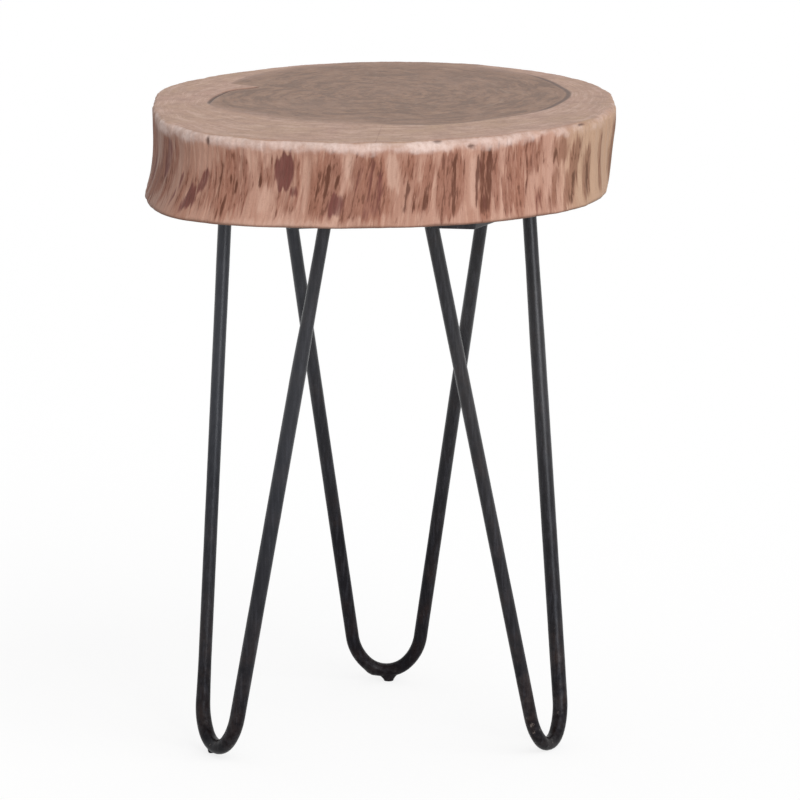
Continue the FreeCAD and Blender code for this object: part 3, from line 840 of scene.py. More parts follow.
def floor_finish(settings):
    """Pale floor that shows white to the eye and keeps a soft shadow of the table."""
    material, g = new_finish("studio_floor")
    share = settings.floor_shadow
    lit = settings.fill_level
    lit += settings.key_level * math.sin(settings.key_height)
    lit += settings.strip_level * math.sin(settings.strip_height)
    matt = g.add("ShaderNodeBsdfDiffuse", {"Color": settings.floor})
    shaded = g.add("ShaderNodeBsdfDiffuse", {"Color": (share, share, share)})
    glow = g.add("ShaderNodeEmission", {"Color": WHITE, "Strength": 1.0 - share * lit})
    white = g.add("ShaderNodeAddShader", {0: shaded, 1: glow})
    front = g.add("ShaderNodeMixShader", {0: g.seen(), 1: matt, 2: white})
    back = g.add("ShaderNodeNewGeometry", out="Backfacing")
    clear = g.add("ShaderNodeBsdfTransparent")
    surface = g.add("ShaderNodeMixShader", {0: back, 1: front, 2: clear})
    g.add("ShaderNodeOutputMaterial", {"Surface": surface})
    return material


def stored(name, make, settings):
    """The finish of that name, made on first use."""
    return bpy.data.materials.get(name) or make(settings)


def linked(name, data):
    """A new object in the scene."""
    made = bpy.data.objects.new(name, data)
    bpy.context.scene.collection.objects.link(made)
    return made


def new_piece(name, mesh, material, nodes):
    """Puts a finished mesh into the scene in place of the nodes that it stands for."""
    piece = linked(name, mesh)
    if material is not None:
        mesh.materials.clear()
        mesh.materials.append(material)
    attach(piece, BODY)
    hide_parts(*nodes)


def plain_mesh(holder):
    """An object with its modifiers applied, as a mesh of its own."""
    bpy.context.view_layer.update()
    graph = bpy.context.evaluated_depsgraph_get()
    return bpy.data.meshes.new_from_object(holder.evaluated_get(graph), depsgraph=graph)


def solid_mesh(name, points, faces, smooth=True):
    """A mesh from points and faces."""
    mesh = bpy.data.meshes.new(name)
    mesh.from_pydata([tuple(p) for p in points], [], faces)
    mesh.validate()
    mesh.polygons.foreach_set("use_smooth", [smooth] * len(mesh.polygons))
    mesh.update()
    return mesh


def leg_axes(leg):
    """The leg's middle on its plate, and its directions out and along."""
    turn = math.radians(leg.turn)
    out = Vector((math.cos(turn), math.sin(turn), 0.0))
    along = Vector((-math.sin(turn), math.cos(turn), 0.0))
    middle = Vector((*HUB, 0.0)) + leg.ring * out + leg.slip * along
    return middle, out, along


def on_leg(leg, out, along, height):
    """A place given on the leg, in metres."""
    middle, outward, sideways = leg_axes(leg)
    return (middle + out * outward + along * sideways + Vector((0.0, 0.0, height))) * MM


def hairpin_line(leg):
    """The bar's middle line as places in the scene, and its girth at each of them."""
    drop = PLATE_UNDERSIDE - BAR_DIAMETER / 2 - leg.foot_lift
    slant = math.hypot(drop, SPLAY)
    half = math.radians(BEND_HALF_ANGLE)
    shift = math.sin(half) * (SHOULDER_RADIUS - leg.bend)

    def arc(middle, radius, start, end):
        count = max(2, math.ceil(abs(math.degrees(end - start)) / BEND_STEP))
        turns = [start + (end - start) * i / count for i in range(count + 1)]
        return [(middle[0] + radius * math.sin(a), middle[1] + radius * math.cos(a)) for a in turns]

    def shoulder(side):
        """Shoulder arc of one arm from the bend up, then the arm to its top end."""
        top = (side * leg.spacing / 2, -BAR_OVERRUN)
        middle = (leg.sway - side * shift, slant - leg.bend - shift)
        across = side * (top[0] - middle[0])
        rise = top[1] - middle[1]
        lean = math.atan2(across, rise) - math.acos(SHOULDER_RADIUS / math.hypot(across, rise))
        curve = arc(middle, SHOULDER_RADIUS, side * half, side * lean)
        low = curve[-1]
        for i in range(1, ARM_STEPS + 1):
            share = i / ARM_STEPS
            curve.append((low[0] + (top[0] - low[0]) * share, low[1] + (top[1] - low[1]) * share))
        return curve

    bend = arc((leg.sway, slant - leg.bend), leg.bend, -half, half)
    places = []
    girths = []
    for across, down in shoulder(-1)[::-1] + bend[1:-1] + shoulder(1):
        height = PLATE_UNDERSIDE - drop * down / slant
        places.append(on_leg(leg, SPLAY * down / slant, across, height))
        upper = eased(height, *GIRTH_CHANGE)
        foot = 1.0 - eased(height, *FOOT_GIRTH_CHANGE)
        rest = 1.0 - upper - foot
        first, second = (g[0] * upper + g[2] * foot + g[1] * rest for g in leg.girth)
        right = eased(across - leg.sway, -leg.bend, leg.bend)
        girths.append(float(first + (second - first) * right))
    return places, girths


def new_curve(name, dimensions):
    """An empty curve."""
    curve = bpy.data.curves.new(name, "CURVE")
    curve.dimensions = dimensions
    return curve


def add_line(curve, places, closed):
    """Adds a line of straight runs to a curve."""
    spline = curve.splines.new("POLY")
    spline.points.add(len(places) - 1)
    for point, place in zip(spline.points, places):
        point.co = (*place, 1.0)
    spline.use_cyclic_u = closed
    return spline


def new_tree(name, inputs):
    """A geometry tree with named inputs by kind; gives its graph and an input's wire by name."""
    tree = bpy.data.node_groups.new(name, "GeometryNodeTree")
    tree.interface.new_socket("Geometry", in_out="INPUT", socket_type="NodeSocketGeometry")
    for kind, labels in inputs.items():
        for label in labels:
            tree.interface.new_socket(label, in_out="INPUT", socket_type="NodeSocket" + kind)
    tree.interface.new_socket("Geometry", in_out="OUTPUT", socket_type="NodeSocketGeometry")
    g = Graph(tree)
    start = g.add("NodeGroupInput", out="Geometry").socket.node
    return g, lambda label: Wire(g, start.outputs[label])


def swept(g, line, sides, thick, scale, capped):
    """A round section swept along a line."""
    ring = {"Resolution": sides, "Radius": thick / 2.0}
    section = g.add("GeometryNodeCurvePrimitiveCircle", ring)
    sockets = {"Curve": line, "Profile Curve": section, "Scale": scale, "Fill Caps": capped}
    return g.add("GeometryNodeCurveToMesh", sockets)


def levelled(g, shape, limit):
    """Moves a shape's points to the level that the limit makes of their own."""
    spot = g.add("GeometryNodeInputPosition")
    held = {"X": g.part(spot, "X"), "Y": g.part(spot, "Y"), "Z": limit(g.part(spot, "Z"))}
    moved = g.add("ShaderNodeCombineXYZ", held)
    return g.add("GeometryNodeSetPosition", {"Geometry": shape, "Position": moved})


def end_tree(g, geometry, finish):
    """Ends a tree in plain meshes with a finish."""
    real = g.add("GeometryNodeRealizeInstances", {"Geometry": geometry})
    smooth = g.add("GeometryNodeSetShadeSmooth", {"Geometry": real})
    painted = g.add("GeometryNodeSetMaterial", {"Geometry": smooth, "Material": finish})
    g.add("NodeGroupOutput", {"Geometry": painted})
    return g.tree


def bar_tree():
    """Sweeps a round bar along a line, with paint lumps, cut level above and flat below."""
    sizes = ("Diameter", "Step", "Lump", "Lump Scale", "Run Reach", "Run Rise")
    sizes += ("Top Level", "Floor Level")
    inputs = {"Float": sizes, "Int": ("Sides",), "Vector": ("Run Place",), "Material": ("Paint",)}
    g, take = new_tree("hairpin_bar", inputs)
    line = {"Curve": take("Geometry"), "Length": take("Step")}
    even = g.add("GeometryNodeResampleCurve", line, mode="LENGTH")
    girth = g.add("GeometryNodeInputRadius")
    bar = swept(g, even, take("Sides"), take("Diameter"), girth, True)
    place = g.add("GeometryNodeInputPosition")
    away = g.vector("DISTANCE", place, take("Run Place"), out="Value")
    run = (1.0 - away / take("Run Reach")).ramp(0.0, 1.0) * take("Run Rise")
    lumps = g.noise(place, take("Lump Scale"), 2.0).swing(2.0) * take("Lump") + run
    push = g.vector("SCALE", g.add("GeometryNodeInputNormal"), Scale=lumps)
    lumpy = g.add("GeometryNodeSetPosition", {"Geometry": bar, "Offset": push})
    cut = levelled(g, lumpy, lambda z: z.least(take("Top Level")).most(take("Floor Level")))
    return end_tree(g, cut, take("Paint"))


def bead_tree():
    """Sweeps a rippled weld bead round a closed line."""
    sizes = ("Bead", "Ripples", "Ripple Depth", "Top Level")
    g, take = new_tree("weld_bead", {"Float": sizes, "Int": ("Steps",), "Material": ("Paint",)})
    line = {"Curve": take("Geometry"), "Count": take("Steps")}
    even = g.add("GeometryNodeResampleCurve", line)
    share = g.add("GeometryNodeSplineParameter", out="Factor")
    crest = (share * take("Ripples") * math.pi).sine().size()
    uneven = g.noise(g.add("GeometryNodeInputPosition"), 160.0, 2.0).swing(0.22)
    swell = 1.0 - take("Ripple Depth") * (1.0 - crest) + uneven
    bead = swept(g, even, BEAD_SIDES, take("Bead"), swell, False)
    cut = levelled(g, bead, lambda z: z.least(take("Top Level")))
    return end_tree(g, cut, take("Paint"))


def screw_tree():
    """Puts one screw on every point, each turned by chance."""
    inputs = {"Object": ("Screw",), "Int": ("Seed",), "Material": ("Steel",)}
    g, take = new_tree("plate_screws", inputs)
    shape = g.add("GeometryNodeObjectInfo", {"Object": take("Screw")}, "Geometry")
    turns = {0: (0.0, 0.0, 0.0), 1: (0.0, 0.0, math.tau), "Seed": take("Seed")}
    turn = g.add("FunctionNodeRandomValue", turns, data_type="FLOAT_VECTOR")
    sockets = {"Points": take("Geometry"), "Instance": shape, "Rotation": turn}
    placed = g.add("GeometryNodeInstanceOnPoints", sockets)
    return end_tree(g, placed, take("Steel"))


def grown(holder, tree, values):
    """Runs a geometry tree on an object and gives back the result as a plain mesh."""
    modifier = holder.modifiers.new(tree.name, "NODES")
    modifier.node_group = tree
    for item in tree.interface.items_tree:
        if item.item_type == "SOCKET" and item.in_out == "INPUT" and item.name in values:
            modifier[item.identifier] = values[item.name]
    mesh = plain_mesh(holder)
    holder.modifiers.remove(modifier)
    bpy.data.objects.remove(holder)
    if len(mesh.polygons) == 0:
        raise RuntimeError(tree.name + " gave no faces")
    return mesh


def waves(turns, heights, cycles, count, lean, rng):
    """Seamless relief round the slice: a sum of flutes, about 1 high, over rows and columns."""
    total = np.zeros((len(heights), len(turns)))
    for _ in range(count):
        cycle = rng.integers(cycles[0], cycles[1] + 1)
        phase = rng.uniform(0.0, math.tau)
        slope = rng.uniform(-lean, lean)
        total += np.cos(cycle * turns[None, :] + phase + slope * heights[:, None])
    return total / math.sqrt(count / 2.0)


def eased(value, start, end):
    """Smooth step from 0 at start to 1 at end."""
    share = np.clip((value - start) / (end - start), 0.0, 1.0)
    return share * share * (3.0 - 2.0 * share)


def turned_apart(turns, turn):
    """Degrees between two turns, from -180 to 180."""
    return (turns - turn + 180.0) % 360.0 - 180.0


def near(turns, turn, half, start, end):
    """1 about a turn, easing to 0 past half of its width; start and end are from that half."""
    return eased(half - np.abs(turned_apart(turns, turn)), start, end)


def by_turn(table, turns):
    """A table's values at the given turns."""
    return np.interp(turns, list(table), list(table.values()))


def bell(width, sigma):
    """Steps to either side and their weights, for a soft blur."""
    steps = np.arange(-width, width + 1)
    weights = np.exp(-0.5 * (steps / sigma) ** 2)
    return steps, weights / weights.sum()


def back_marks(rng):
    """Smears and dashes for the part of the edge that is turned away, drawn by chance."""
    smears = []
    dashes = []
    turn, last = BACK_TURNS
    while turn < last:
        half = rng.choice(BACK_HALVES) * rng.uniform(0.8, 1.2)
        top = rng.uniform(4.0, 16.0) + 18.0 * (rng.uniform() < 0.25)
        bottom = rng.uniform(56.0, 67.0) - 18.0 * (rng.uniform() < 0.25)
        lean = rng.uniform(-0.05, 0.3)
        smears.append(Mark(turn, top, bottom, half, lean, rng.uniform(0.4, 1.05)))
        for _ in range(int(1.0 + half / 6.0)):
            start = top + (bottom - top) * rng.uniform(0.1, 0.6)
            end = min(start + rng.uniform(8.0, 30.0), bottom)
            aside = math.degrees(rng.uniform(-0.7, 0.7) * half / WALL_REACH)
            dashes.append(Mark(turn + aside, start, end, rng.uniform(0.9, 2.0), lean, 0.8))
        turn += math.degrees(half * rng.uniform(1.0, 2.7) / WALL_REACH)
    return smears, dashes


class SliceForm:
    """Measures the slab's solid and lays out the slice's surface on it."""

    def __init__(self, settings):
        self.settings = settings
        low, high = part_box("top_slab")
        self.floor = low.z
        self.top = high.z
        self.pith = Vector((PITH[0] * MM, PITH[1] * MM, 0.0))
        self.columns = settings.columns
        self.measure()
        self.lay_rows()
        self.lay_bark()
        self.roughen()

    def probed(self, turns):
        """The slab's reach from the pith, by levels and turns."""
        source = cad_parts["top_slab"].data
        corners = [v.co.copy() for v in source.vertices]
        tree = BVHTree.FromPolygons(corners, [tuple(p.vertices) for p in source.polygons])
        reach = np.zeros((len(PROBE_LEVELS), len(turns)))
        far = 1.0
        for row, level in enumerate(PROBE_LEVELS):
            for column, turn in enumerate(turns):
                aim = Vector((math.cos(turn), math.sin(turn), 0.0))
                start = self.pith + far * aim + Vector((0.0, 0.0, level))
                hit = tree.ray_cast(start, -aim)
                if hit[3] is None:
                    raise RuntimeError("the slab's wall was not found")
                reach[row, column] = far - hit[3]
        return reach

    def measure(self):
        """Reads the wall's reach from the pith, and spaces the columns evenly along it."""
        turns = np.arange(PROBE_TURNS) * math.tau / PROBE_TURNS
        reach = self.probed(turns)
        steps, weights = bell(3 * PROBE_BLUR, PROBE_BLUR)
        smooth = sum(w * np.roll(reach, s, axis=1) for w, s in zip(weights, steps))
        middle = smooth[len(PROBE_LEVELS) // 2]
        spots = np.stack((middle * np.cos(turns), middle * np.sin(turns)), axis=1)
        gaps = np.linalg.norm(np.roll(spots, -1, axis=0) - spots, axis=1)
        walked = np.concatenate(([0.0], np.cumsum(gaps)))
        even = np.arange(self.columns) * walked[-1] / self.columns
        around = np.append(turns, math.tau)
        self.turns = np.interp(even, walked, around)
        self.degrees = np.degrees(self.turns)
        self.across = np.cos(self.turns)
        self.ahead = np.sin(self.turns)
        self.round = np.arange(self.columns) * math.tau / self.columns
        wall = np.stack([np.interp(self.turns, around, np.append(r, r[0])) for r in smooth])
        self.curves = np.polyfit(np.array(PROBE_LEVELS) - MIDDLE_LEVEL, wall, 3)
        rim = self.wall(np.full(self.columns, MIDDLE_LEVEL))
        x = self.pith.x + rim * self.across
        y = self.pith.y + rim * self.ahead
        self.compass = np.degrees(np.arctan2(y, x))
        self.reach_from_middle = np.hypot(x, y)

    def wall(self, height):
        """Reach of the wall from the pith at each column's height."""
        rise = height - MIDDLE_LEVEL
        a, b, c, d = self.curves
        return ((a * rise + b) * rise + c) * rise + d

    def lay_rows(self):
        """Lays out the rows of the edge, from the top's rim to the underside's rim."""
        settings = self.settings
        self.rng = np.random.default_rng(RELIEF_SEED)
        self.upper = self.arris(settings.top_arris, TOP_ARRIS_SHARE, 0.16, TOP_ARRIS_LIMITS)
        self.lower = self.arris(settings.low_arris, LOW_ARRIS_SHARE, 0.14, LOW_ARRIS_LIMITS)
        quarter = math.pi / 2
        rows = []
        for turn in np.linspace(0.0, quarter, TOP_ARRIS_ROWS):
            inset = self.upper * (1.0 - math.sin(turn))
            rows.append((self.top - self.upper * (1.0 - math.cos(turn)), inset))
        start = self.top - self.upper
        end = self.floor + self.lower
        for share in np.linspace(0.0, 1.0, WALL_ROWS)[1:-1]:
            rows.append((start + (end - start) * share, np.zeros(self.columns)))
        for turn in np.linspace(0.0, quarter, LOW_ARRIS_ROWS):
            inset = self.lower * (1.0 - math.cos(turn))
            rows.append((self.floor + self.lower * (1.0 - math.sin(turn)), inset))
        self.height = np.stack([r[0] for r in rows])
        self.inset = np.stack([r[1] for r in rows])
        self.depth = (self.top - self.height) / MM

    def arris(self, mean, shares, swing, limits):
        """Rounding of an edge at each column."""
        uneven = 1.0 + swing * waves(self.round, np.zeros(1), *ARRIS_WAVES, self.rng)[0]
        return np.clip(mean * by_turn(shares, self.compass) * uneven, *limits)

    def roughen(self):
        """How far each point of the edge lies inside the smooth wall."""
        level = np.linspace(0.0, 1.0, len(self.height))
        rough = 0.5
        for *flutes, share in FLUTES:
            rough = rough + share * waves(self.round, level, *flutes, self.rng)
        relief = self.settings.relief * np.clip(rough, *FLUTE_LIMITS)
        for turn, depth, tall, deep in WALL_HOLLOWS:
            hollow = near(self.compass, turn, *HOLLOW_SPREAD)
            relief += deep * MM * hollow * np.exp(-(((self.depth - depth) / tall) ** 2))
        relief -= BARK_THICK * MM * self.marks["bark"]
        relief *= 1.0 - 0.5 * eased(self.depth, *FLUTE_FADE)
        self.relief = np.maximum(relief, 0.0)

    def lay_bark(self):
        """Marks bark, dark fibres, stains, pale places, pits and the sanded rim's painted
        highlight.
        """
        rng = np.random.default_rng(BACK_BARK_SEED)
        smears, dashes = back_marks(rng)
        self.fringe = FRINGE * waves(self.round, np.zeros(1), *FRINGE_WAVES, rng)[0]
        self.dent = np.zeros(self.height.shape)
        pitted = np.zeros(self.height.shape)
        for pit in PITS:
            aside = self.millimetres_aside(pit.turn) / pit.half
            mask = np.exp(-1.6 * (aside**2 + ((self.depth - pit.depth) / pit.tall) ** 2))
            pitted = np.maximum(pitted, eased(mask, 0.25, 0.8) * 0.8)
            self.dent = np.maximum(self.dent, mask * pit.deep * MM)
        self.marks = {"pit": pitted, "worn": self.wear_and_highlight()}
        kinds = ((*SMEARS, *smears), (*DASHES, *dashes), STAINS, PALES)
        for (name, edges), marks in zip(MARK_EDGES.items(), kinds):
            self.marks[name] = self.laid(marks, *edges)

    def millimetres_aside(self, turn):
        """How far each column is from a turn along the edge."""
        aside = np.radians(turned_apart(self.compass, turn)) * self.reach_from_middle / MM
        return aside[None, :]

    def laid(self, marks, soft, soft_end, power):
        """The strength of the strongest mark at every point of the edge.

        Soft is how far a mark's sides fade and soft_end how far its top and bottom do, in
        millimetres; a higher power has squarer ends.
        """
        total = np.zeros(self.height.shape)
        depth = self.depth + self.fringe[None, :]
        tiny = 1e-9
        for mark in marks:
            middle = (mark.top + mark.bottom) / 2
            tall = middle - mark.top
            aside = self.millimetres_aside(mark.turn) - mark.lean * (middle - depth)
            aside = np.minimum(np.abs(aside) / mark.half, 9.0) ** power
            along = (np.abs(depth - middle) / tall) ** power
            away = (aside + along) ** (1.0 / power)
            fade = (aside * soft / mark.half + along * soft_end / tall) / (aside + along + tiny)
            strength = eased((1.0 - away) / (fade + tiny), -1.0, 1.0) * mark.strength
            total = np.maximum(total, strength)
        return total

    def heart_reach(self):
        """Reach of the heartwood from the pith at each column."""
        known = sorted(HEART_REACH)
        around = np.array([known[-1] - 360.0, *known, known[0] + 360.0])
        reach = np.array([HEART_REACH[k] for k in (known[-1], *known, known[0])], float)
        fine = np.arange(-HEART_LAP, 360.0 + HEART_LAP, HEART_STEP)
        _, weights = bell(HEART_BLUR, HEART_BLUR / 2)
        line = np.pad(np.interp(fine, around, reach), HEART_BLUR, mode="edge")
        base = np.interp(self.degrees, fine, np.convolve(line, weights, mode="valid"))
        apart = turned_apart(self.degrees, NOTCH_TURN)
        spread = np.where(apart > 0.0, NOTCH_FRONT, NOTCH_BACK)
        return (base - NOTCH_DEPTH * np.exp(-((apart / spread) ** 2))) * MM

    def seam_strength(self):
        """How far the seam of the heartwood is open, and how dark it is, at each column."""
        turns = self.degrees
        crack = eased(turned_apart(turns, CRACK_START), -1.5, 1.0)
        crack = crack * eased(-turned_apart(turns, CRACK_END), -1.0, 6.0)
        crack = crack * (np.abs(turned_apart(turns, 180.0)) < 30.0)
        front = FRONT_SEAM_SHARE * near(turns, *FRONT_SEAM)
        return crack, np.maximum(near(turns, *DARK_SEAM), front)

    def border_softness(self):
        """How far heartwood and sapwood run into each other at each column."""
        left = near(self.degrees, *SOFT_LEFT)
        rear = near(self.degrees, *SOFT_REAR)
        return np.clip(0.12 + 0.6 * left + 0.45 * rear, 0.0, 1.0)

    def wear_and_highlight(self):
        """How far the upper edge is lightened, sanded pale and by a painted highlight, at each
        point.
        """
        upper = eased(self.depth, -0.5, 1.0) * eased(-self.depth, -15.0, -4.0)
        return upper * by_turn(WEAR_AND_HIGHLIGHT_SHARE, self.compass)[None, :]


class SliceSkin:
    """Collects the rows of points that make up the slice's closed skin."""

    def __init__(self, form):
        self.form = form
        self.low, self.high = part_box("top_slab")
        self.points = []
        self.loops = []
        self.marks = {name: [] for name in MARK_NAMES}

    def add_row(self, radius, height, part, values):
        """Adds a row round the pith with a point at every so many columns."""
        form = self.form
        chosen = np.arange(0, form.columns, part)
        self.loops.append(len(self.points) + np.arange(len(chosen)))
        x = np.clip(form.pith.x + radius * form.across, self.low.x, self.high.x)
        y = np.clip(form.pith.y + radius * form.ahead, self.low.y, self.high.y)
        self.points.extend((x[c], y[c], height[c]) for c in chosen)
        for name, store in self.marks.items():
            value = values.get(name)
            store.extend([0.0] * len(chosen) if value is None else value[chosen])

    def mesh(self):
        """The skin as a mesh that carries its marks."""
        form = self.form
        faces = []
        for inner, outer in zip(self.loops, self.loops[1:]):
            faces.extend(band(inner, outer))
        for loop, height, turn in ((self.loops[0], form.top, 1), (self.loops[-1], form.floor, -1)):
            middle = len(self.points)
            self.points.append((form.pith.x, form.pith.y, height))
            for store in self.marks.values():
                store.append(0.0)
            for pair in zip(loop.tolist(), np.roll(loop, -1).tolist()):
                faces.append((middle, *pair[::turn]))
        mesh = solid_mesh("wood_slice", self.points, faces)
        for name, values in self.marks.items():
            layer = mesh.attributes.new(name, "FLOAT", "POINT")
            layer.data.foreach_set("value", np.array(values, np.float32))
        return mesh


def slice_mesh(settings):
    """The whole slice as one closed skin: top, edge and underside."""
    form = SliceForm(settings)
    skin = SliceSkin(form)
    count = form.columns
    wall = np.stack([form.wall(h) for h in form.height])
    slope = np.clip(form.inset / np.maximum(form.upper, 1e-6), 0.0, 1.0)
    drop = PIT_DROP * slope
    reach = wall - form.inset - form.relief - form.dent * (1.0 - drop)
    lift = -form.dent * np.where(form.depth < PIT_DROP_DEPTH, drop, 0.0)
    soft = form.border_softness()
    rim_age = RIM_AGE - BARE_LOSS * near(form.degrees, *BARE_REAR)
    olive = near(form.compass, *OLIVE_END)
    crack, line = form.seam_strength()

    flat = np.full(count, form.top)
    for radius, age, part, sunk, dark in top_rows(form, reach[0], crack, line):
        depth = settings.crack_depth * sunk * (crack + 0.05 * line)
        values = {
            "age": np.minimum(age, rim_age),
            "soft": soft,
            "seam": dark * np.clip(0.95 * crack + 0.88 * line + 0.04, 0.0, 1.0),
            "olive": olive,
        }
        skin.add_row(radius, flat - depth, part, values)

    # Painted shade at the left end, where the edge turns away from the lights.
    ash = near(form.compass, *GREY_SHADE_END)
    lean = by_turn(GRAIN_LEAN, form.compass)
    for row, height in enumerate(form.height):
        turn = np.clip(form.depth[row] / (form.upper / MM), 0.0, 1.0)
        under = np.clip((height - form.floor) / form.lower, 0.0, 1.0)
        values = {
            "age": rim_age,
            "soft": soft,
            "side": eased(turn, 0.0, 1.0) * (under > 0.0),
            # How far the lower edge is darkened by painted shade.
            "low": eased(under, 0.9, 0.2),
            "olive": olive,
            "ash": ash,
            "slide": lean * (height - form.floor),
            **{name: mark[row] for name, mark in form.marks.items()},
        }
        skin.add_row(reach[row], height + lift[row], 1, values)

    base = np.full(count, form.floor)
    rim = reach[-1]
    heart = np.minimum(form.heart_reach(), rim - LEAST_SAPWOOD * MM)
    for share in UNDER_SAP_ROWS:
        skin.add_row(heart + (rim - heart) * share, base, 1, {"age": np.full(count, 1.0 + share)})
    for share, part in UNDER_HEART_ROWS:
        skin.add_row(heart * share, base, part, {"age": np.full(count, share)})
    return skin.mesh()


def top_rows(form, rim, crack, line):
    """Rows of the top, from the pith out: reach, age of the wood, thinning, depth, darkness."""
    count = form.columns
    heart = np.minimum(form.heart_reach(), rim - LEAST_SAPWOOD * MM)
    apart = turned_apart(np.roll(form.degrees, -1), np.roll(form.degrees, 1))
    run = (np.roll(heart, -1) - np.roll(heart, 1)) / np.radians(apart)
    wide = np.hypot(1.0, run / heart) * (1.0 + 0.55 * line + 0.35 * crack)
    wide = np.clip(np.minimum(wide, (rim - heart) / (5.0 * MM)), 1.0, 2.0)
    rows = []
    for share, part in HEART_ROWS:
        rows.append((heart * share, np.full(count, share), part, 0.0, 0.0))
    for offset, sunk, dark in SEAM_ROWS:
        spot = heart + offset * wide * MM
        inside = spot / heart
        outside = 1.0 + (spot - heart) / np.maximum(rim - heart, 1e-4)
        rows.append((spot, inside if offset < 0.0 else outside, 1, sunk, dark))
    for share in SAP_ROWS:
        start = heart + SEAM_EDGE * wide * MM
        spot = start + (rim - start) * share
        rows.append((spot, 1.0 + (spot - heart) / (rim - heart), 1, 0.0, 0.0))
    return rows


def band(inner, outer):
    """Faces between two rows of points; one row may have twice the points of the other."""
    faces = []
    inner = [int(i) for i in inner]
    outer = [int(i) for i in outer]
    small = min(len(inner), len(outer))
    for i in range(small):
        j = (i + 1) % small
        if len(inner) == len(outer):
            corners = (inner[i], outer[i], outer[j], inner[j])
            faces.append(tuple(dict.fromkeys(corners)))
        elif len(inner) < len(outer):
            a, b, c = outer[2 * i], outer[2 * i + 1], outer[(2 * i + 2) % len(outer)]
            faces += [(inner[i], a, b), (inner[i], b, inner[j]), (inner[j], b, c)]
        else:
            a, b, c = inner[2 * i], inner[2 * i + 1], inner[(2 * i + 2) % len(inner)]
            faces += [(a, outer[i], b), (b, outer[i], outer[j]), (b, outer[j], c)]
    return faces


def arm_tops(leg):
    """Where the bar's two arms meet the plate's underside, with the way each arm comes up."""
    line, _ = hairpin_line(leg)
    found = []
    for end, before in ((line[0], line[1]), (line[-1], line[-2])):
        way = (end - before).normalized()
        found.append((end + way * ((PLATE_UNDERSIDE * MM - end.z) / way.z), way))
    return found


def weld_line(node, bead):
    """The ring that a weld's bead follows round the arm that it holds."""
    low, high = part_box(node)
    middle = (low + high) / 2
    tops = [top for leg in LEGS for top in arm_tops(leg)]
    top, way = min(tops, key=lambda t: (t[0].xy - middle.xy).length)
    centre = top - way * (bead * BEAD_DROP / way.z)
    reach = BAR_DIAMETER * MM / 2 + bead * BEAD_REACH
    stretch = math.hypot(1.0, way.xy.length / way.z) - 1.0
    lean = way.xy.normalized()
    places = []
    for i in range(BEAD_PLACES):
        turn = math.tau * i / BEAD_PLACES
        spoke = Vector((math.cos(turn), math.sin(turn)))
        longer = spoke + lean * (spoke.dot(lean) * stretch)
        places.append(centre + Vector((*(longer * reach), 0.0)))
    return places


def plate_outline():
    """Corners of a mounting plate as (out, along)."""
    return (
        (PLATE_OUTER, -PLATE_SHOULDER),
        (PLATE_OUTER, PLATE_SHOULDER),
        (PLATE_OUTER - PLATE_CLIP, PLATE_HALF),
        (PLATE_CLIP - PLATE_INNER, PLATE_HALF),
        (-PLATE_INNER, PLATE_SHOULDER),
        (-PLATE_INNER, -PLATE_SHOULDER),
        (PLATE_CLIP - PLATE_INNER, -PLATE_HALF),
        (PLATE_OUTER - PLATE_CLIP, -PLATE_HALF),
    )


def rounded(corners, radius, steps=4):
    """A closed outline with its corners rounded."""
    places = []
    for i, corner in enumerate(corners):
        here = Vector(corner)
        back = (Vector(corners[i - 1]) - here).normalized()
        on = (Vector(corners[(i + 1) % len(corners)]) - here).normalized()
        half = math.acos(max(-1.0, min(1.0, back.dot(on)))) / 2
        run = radius / math.tan(half)
        middle = here + (back + on).normalized() * (radius / math.sin(half))
        start = here + back * run - middle
        end = here + on * run - middle
        for s in range(steps + 1):
            places.append(middle + start.lerp(end, s / steps).normalized() * radius)
    return places


def plate_mesh(leg, edge):
    """A flat plate with clipped corners, four screw holes and softened edges."""
    curve = new_curve(leg.name + "_plate_outline", "2D")
    curve.fill_mode = "BOTH"
    curve.extrude = PLATE_THICK * MM / 2 - edge
    curve.bevel_depth = edge
    curve.bevel_resolution = 2
    curve.offset = -edge
    rings = [rounded(plate_outline(), PLATE_CORNER)]
    turns = [math.tau * i / HOLE_SIDES for i in range(HOLE_SIDES)]
    radius = PLATE_HOLE / 2
    for x, y in SCREW_PLACES:
        rings.append([Vector((x + radius * math.cos(t), y + radius * math.sin(t))) for t in turns])
    for ring in rings:
        add_line(curve, [(p.x * MM, p.y * MM, 0.0) for p in ring], True)
    holder = linked(curve.name, curve)
    mesh = plain_mesh(holder)
    bpy.data.objects.remove(holder)
    height = PLATE_UNDERSIDE + PLATE_THICK / 2
    for vertex in mesh.vertices:
        x, y, z = (c / MM for c in vertex.co)
        vertex.co = on_leg(leg, x + leg.plate_set, y, height + z)
    return mesh


def lathe(profile, sides):
    """Points and faces of a closed turned shape; the profile holds (radius, height) pairs."""
    points = []
    rows = []
    for radius, height in profile:
        if radius == 0.0:
            rows.append([len(points)] * sides)
            points.append((0.0, 0.0, height))
            continue
        rows.append([len(points) + i for i in range(sides)])
        for turn in np.arange(sides) * math.tau / sides:
            points.append((radius * math.cos(turn), radius * math.sin(turn), height))
    return points, [face for upper, lower in zip(rows, rows[1:]) for face in band(upper, lower)]


